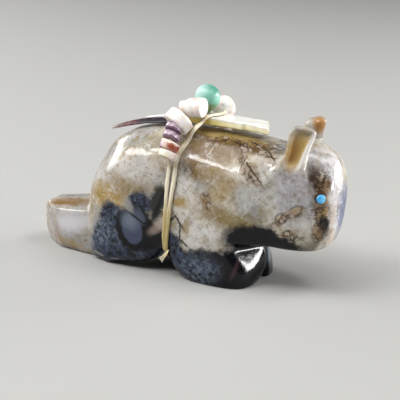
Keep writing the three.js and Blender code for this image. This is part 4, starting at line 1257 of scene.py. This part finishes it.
# Sinew
SINEW_WIDTH = 0.85
SINEW_THICKNESS = 0.46
SINEW_HEIGHT = 0.34  # middle of the strip above the stone
SINEW_SINK = 0.1  # how much lower the second turn lies than the loop
STRAND_STEP = 0.22
ROUTE_STEPS = 14  # points for each corner of a route
CUT_ENDS = [((-3.0, -10.7, 4.8), 0.45, 4), ((-2.7, -10.8, 4.5), 0.5, 9)]  # tip, share of the width, seed
# Painted shade on the cut ends, which hang low on the flank
CUT_END_SHADE = 0.6


def lying(*points):
    return [on_stone(p, SINEW_HEIGHT) for p in points]


def through_bead(name):
    _, centre, axis, _, thick = next(b for beads in BEADS.values() for b in beads if b[0] == name)
    reach = unit(axis) * (thick / 2 - 0.1)
    return [np.array(centre) - reach, np.array(centre) + reach]


def strand_routes():
    """Each run of the sinew: its name, its points in the drawing, whether it closes, its share of the
    full width and how dark it is painted: painted shade on the second turn, a little darker on the bead cord."""
    bead_cord = lying(
        (-3.3, -10.7, 5.6), (-3.2, -11.4, 8.6), (-3.1, -11.7, 14), (-3.05, -11.8, 20), (-2.95, -11.6, 24)
    )
    for name in ("bead_white_lower", "bead_red_shell", "bead_purple_lower", "bead_purple_upper"):
        bead_cord += through_bead(name)
    bead_cord.append(np.array((-2.7, -6.6, 32.3)))
    near_side = [
        (-2.6, -11.4, 8.6), (-2.3, -11.7, 14), (-1.95, -11.6, 18), (-1.55, -11.4, 21.8), (-1.5, -10.6, 24.7),
        (-1.3, -9.0, 26.9), (-0.45, -6.9, 29.1),
    ]
    over = [
        (0.3, -5.8, 30.6), (1.2, -4.5, 31.9), (2.3, -3.2, 33.3), (3.3, -0.9, 33.4), (3.9, 1.0, 33.4),
        (3.3, 2.8, 33.3),
    ]
    far_side = [(0.2, 9.9, 28.2), (-1, 11.2, 24), (-2.2, 11.7, 16), (-2.9, 11.4, 9.4), (-3.4, 10.3, 5.2)]
    below = [(-3.6, 7, 4), (-3.6, 0, 4), (-3.5, -7, 4)]
    loop = (
        lying((-3.1, -10.4, 5.4), *near_side) + [np.array(p) for p in over]
        + through_bead("bead_white_far")[1:] + through_bead("bead_pink_far") + lying(*far_side, *below)
    )
    aside = (0.0, 0.0, -0.2, -0.5, -0.55)  # the second turn slips under the first down the flank
    low = SINEW_HEIGHT - SINEW_SINK
    second = [on_stone(np.array(p) + (step, 0, 0), low) for p, step in zip(near_side[2:], aside)]
    second += [np.array(p) + (-0.5, 0.1, -0.1) for p in over[:3]] + [np.array((2.7, -0.6, 33.3))]
    # The last value is painted darkness: painted shade on the second turn, which lies under the first
    return [
        ("loop", loop, True, 1.0, 0.0),
        ("bead cord", bead_cord, False, 0.95, 0.15),
        ("second turn", second, False, 0.8, 0.75),
    ]


def strip_shaper(material):
    """A flat strip of fibres swept along each route: an oval section with shallow ridges, turned flat
    to the stone, with its width wandering a little and the fibres' own coordinates for the finish."""
    s = Shaper(
        "sinew strip", Width=SINEW_WIDTH, Thickness=SINEW_THICKNESS, Ridges=9.0, Ridge_Height=0.035, Steps=44
    )
    turn_round = 2 * math.pi
    out = s.add("InputNamedAttribute", VECTOR, Name="out")
    curve = s.add("MeshToCurve", None, Mesh=s.input["Geometry"])
    curve = s.add("SetCurveNormal", {"mode": "FREE"}, Curve=curve, Normal=out)
    run = s.add("Math", TIMES, _0=s.add("SplineParameter").outputs["Length"], _1=1000.0)
    curve = s.add("StoreNamedAttribute", NUMBERS, Geometry=curve, Name="run", Value=run)

    circle = s.add("CurvePrimitiveCircle", None, Resolution=s.input["Steps"], Radius=1.0).outputs["Curve"]
    share = s.add("SplineParameter").outputs["Factor"]
    section = s.add("StoreNamedAttribute", NUMBERS, Geometry=circle, Name="round", Value=share)
    place = s.add("SeparateXYZ", None, Vector=s.add("InputPosition"))
    angle = s.add("Math", TIMES, _0=share, _1=turn_round)
    waves = s.add("Math", TIMES, _0=angle, _1=s.input["Ridges"])
    wave = s.add("Math", {"operation": "COSINE"}, _0=waves)
    swell = s.add("Math", {"operation": "MULTIPLY_ADD"}, _0=wave, _1=s.input["Ridge Height"], _2=0.5)
    flat_way = s.add("Math", TIMES, _0=place.outputs["X"], _1=s.input["Thickness"])
    wide_way = s.add("Math", TIMES, _0=place.outputs["Y"], _1=s.input["Width"])
    flat_way = s.add("Math", TIMES, _0=flat_way, _1=swell)
    wide_way = s.add("Math", TIMES, _0=wide_way, _1=swell)
    across = s.add("CombineXYZ", None, X=flat_way, Y=wide_way)
    in_metres = s.add("VectorMath", {"operation": "SCALE"}, Vector=across, Scale=MM)
    section = s.add("SetPosition", None, Geometry=section, Position=in_metres)

    wide = s.add("InputNamedAttribute", NUMBER, Name="wide")
    strip = s.add("CurveToMesh", None, Curve=curve, Profile_Curve=section, Scale=wide, Fill_Caps=True)
    run_at = s.add("InputNamedAttribute", NUMBER, Name="run")
    round_at = s.add("Math", TIMES, _0=s.add("InputNamedAttribute", NUMBER, Name="round"), _1=turn_round)
    along = s.add("Math", TIMES, _0=run_at, _1=0.16)
    there = s.add("Math", TIMES, _0=s.add("Math", {"operation": "COSINE"}, _0=round_at), _1=3.2)
    back = s.add("Math", TIMES, _0=s.add("Math", {"operation": "SINE"}, _0=round_at), _1=3.2)
    fibres = s.add("CombineXYZ", None, X=along, Y=there, Z=back)
    s.end(s.add("StoreNamedAttribute", VECTORS, Geometry=strip, Name="fibres", Value=fibres), material)
    return s


def fray_shaper(material):
    """The cut end: single fibres that spread from one point, each curved and turned by chance."""
    s = Shaper("frayed end", Fibres=9, Length=0.0011, Thickness=0.00007, Spread=0.38, Seed=5)
    geometry, length, spread, seed = (s.input[name] for name in ("Geometry", "Length", "Spread", "Seed"))
    points = s.add("Points", None, Count=s.input["Fibres"])
    start = s.add("SampleIndex", VECTORS, Geometry=geometry, Value=s.add("InputPosition"), Index=0)
    points = s.add("SetPosition", None, Geometry=points, Position=start)
    given = s.add("InputNamedAttribute", VECTOR, Name="turn")
    turn = s.add("SampleIndex", VECTORS, Geometry=geometry, Value=given, Index=0)
    low = s.add("Math", TIMES, _0=spread, _1=-1.0)
    chance = s.add("RandomValue", VECTOR, Min=low, Max=spread, Seed=seed)
    facing = s.add("EulerToRotation", None, Euler=turn)
    swing = s.add("EulerToRotation", None, Euler=chance)
    rotation = s.add("RotateRotation", {"rotation_space": "LOCAL"}, Rotation=facing, Rotate_By=swing)
    long = s.add("RandomValue", NUMBER, Min=0.55, Max=1.0, Seed=seed)
    tip = s.add("CombineXYZ", None, Z=length, X=s.add("Math", TIMES, _0=length, _1=0.16))
    middle = s.add("CombineXYZ", None, Z=s.add("Math", TIMES, _0=length, _1=0.55))
    fibre = s.add("CurveQuadraticBezier", None, Resolution=8, Start=(0.0, 0.0, 0.0), Middle=middle, End=tip)
    share = s.add("SplineParameter").outputs["Factor"]
    thin = s.add("MapRange", None, Value=share, From_Min=0.0, From_Max=1.0, To_Min=1.0, To_Max=0.45)
    ring = s.add("CurvePrimitiveCircle", None, Resolution=6, Radius=s.input["Thickness"]).outputs["Curve"]
    fibre = s.add("CurveToMesh", None, Curve=fibre, Profile_Curve=ring, Scale=thin, Fill_Caps=True)
    fibres = s.add("InstanceOnPoints", None, Points=points, Instance=fibre, Rotation=rotation, Scale=long)
    s.end(fibres, material)
    return s


def chain(path, closed=False):
    """Edges that join the points of a path one after another."""
    return [(n, n + 1) for n in range(len(path) - 1)] + ([(len(path) - 1, 0)] if closed else [])


def tie_sinew():
    material = waxed_sinew()
    strips = strip_shaper(material)
    pieces = []
    for name, route, closed, wide, shade_and_darkening in strand_routes():
        rough = smooth_curve(route, closed, len(route) * ROUTE_STEPS)
        steps = np.concatenate([[0], np.cumsum(np.linalg.norm(np.diff(rough, axis=0), axis=1))])
        count = int(steps[-1] / STRAND_STEP)
        even = np.linspace(0, steps[-1], count + 1)[: count if closed else count + 1]
        path = np.stack([np.interp(even, steps, rough[:, k]) for k in range(3)], 1)
        wander = 1 + 0.07 * np.sin(even * 0.9 + 1) + 0.05 * np.sin(even * 2.3 + shade_and_darkening * 5)
        # Painted shade: the sinew is painted darker low on the stone, fading out between 8 and 24 mm up
        shade_and_darkening_along = np.maximum(shade_and_darkening, 0.9 - 0.9 * smoothstep(path[:, 2], 8, 24))
        attributes = {"out": facing_out(path), "wide": wide * wander, "shade_and_darkening": shade_and_darkening_along}
        pieces.append(strips.run("sinew " + name, path, chain(path, closed), attributes))
    root = on_stone((-2.3, -10.9, 5.9), SINEW_HEIGHT)
    fray = fray_shaper(material)
    for tip, wide, seed in CUT_ENDS:
        tip = np.array(tip)
        path = smooth_curve([root, (root + tip) / 2 + (0.1, -0.25, 0), tip], False, ROUTE_STEPS)
        shade_and_darkening = np.full(len(path), CUT_END_SHADE)
        attributes = {"out": facing_out(path), "wide": np.full(len(path), wide), "shade_and_darkening": shade_and_darkening}
        pieces.append(strips.run("sinew tail", path, chain(path), attributes))
        turn = Vector(path[-1] - path[-4]).to_track_quat("Z", "Y").to_euler()
        pieces.append(fray.run("sinew fibres", [path[-1]], [], {"turn": [tuple(turn)]}, Seed=seed))
    return pieces


def joined(name, pieces):
    """One object from several that are made of the same material."""
    work = bmesh.new()
    for piece in pieces:
        work.from_mesh(piece.data)
    whole = bpy.data.meshes.new(name)
    work.to_mesh(whole)
    work.free()
    whole.materials.append(pieces[0].data.materials[0])
    for piece in pieces:
        bpy.data.objects.remove(piece)
    result = bpy.data.objects.new(name, whole)
    bpy.context.scene.collection.objects.link(result)
    return result


finished(joined("sinew_turns", tie_sinew()), "sinew", "sinew")


# Floor and light
FLOOR_HALF = 2.5  # metres


def lay_floor():
    half = FLOOR_HALF
    mesh = bpy.data.meshes.new("floor")
    corners = [(-half, -half, 0), (half, -half, 0), (half, half, 0), (-half, half, 0)]
    mesh.from_pydata(corners, [], [(0, 1, 2, 3)])
    floor = bpy.data.objects.new("floor", mesh)
    bpy.context.scene.collection.objects.link(floor)
    paper = Finish("pale matt paper", "9e9d9a", 0.9)
    mesh.materials.append(paper.material)


def softbox(name, way, distance, width, height, power):
    """A rectangular lamp in the given direction from the carving, turned to face it."""
    lamp = bpy.data.lights.new(name, "AREA")
    lamp.shape = "RECTANGLE"
    lamp.size = width
    lamp.size_y = height
    lamp.energy = power
    holder = bpy.data.objects.new(name, lamp)
    bpy.context.scene.collection.objects.link(holder)
    aim = Vector((0.002, 0, 0.018))
    out = Vector(way).normalized()
    holder.location = aim + out * distance
    holder.rotation_euler = out.to_track_quat("Z", "Y").to_euler()


def light_scene():
    world = bpy.data.worlds.new("studio")
    world.use_nodes = True
    world.node_tree.nodes["Background"].inputs["Color"].default_value = srgb("e8ebf0")
    world.node_tree.nodes["Background"].inputs["Strength"].default_value = 0.17
    bpy.context.scene.world = world
    softbox("rear strip", (-0.92, 0.15, 0.26), 0.5, 0.50, 0.10, 1.1)
    softbox("haunch box", (-0.85, 0.20, 0.48), 0.5, 0.30, 0.14, 0.3)
    softbox("right box", (0.70, 0.70, 0.13), 0.5, 0.30, 0.15, 2.6)
    softbox("shoulder strip", (-0.32, -0.55, 0.77), 0.6, 0.25, 0.08, 1.4)
    softbox("haunch strip", (-0.65, -0.40, 0.63), 0.6, 0.36, 0.09, 1.9)
    softbox("brow box", (0.44, 0.15, 0.81), 0.6, 0.24, 0.20, 1.4)
    softbox("paw box", (0.985, 0.13, 0.11), 0.5, 0.12, 0.09, 1.5)
    softbox("top box", (0.0, -0.34, 0.94), 0.8, 0.6, 0.4, 3.1)


bpy.context.scene.view_settings.view_transform = "Standard"
lay_floor()
light_scene()
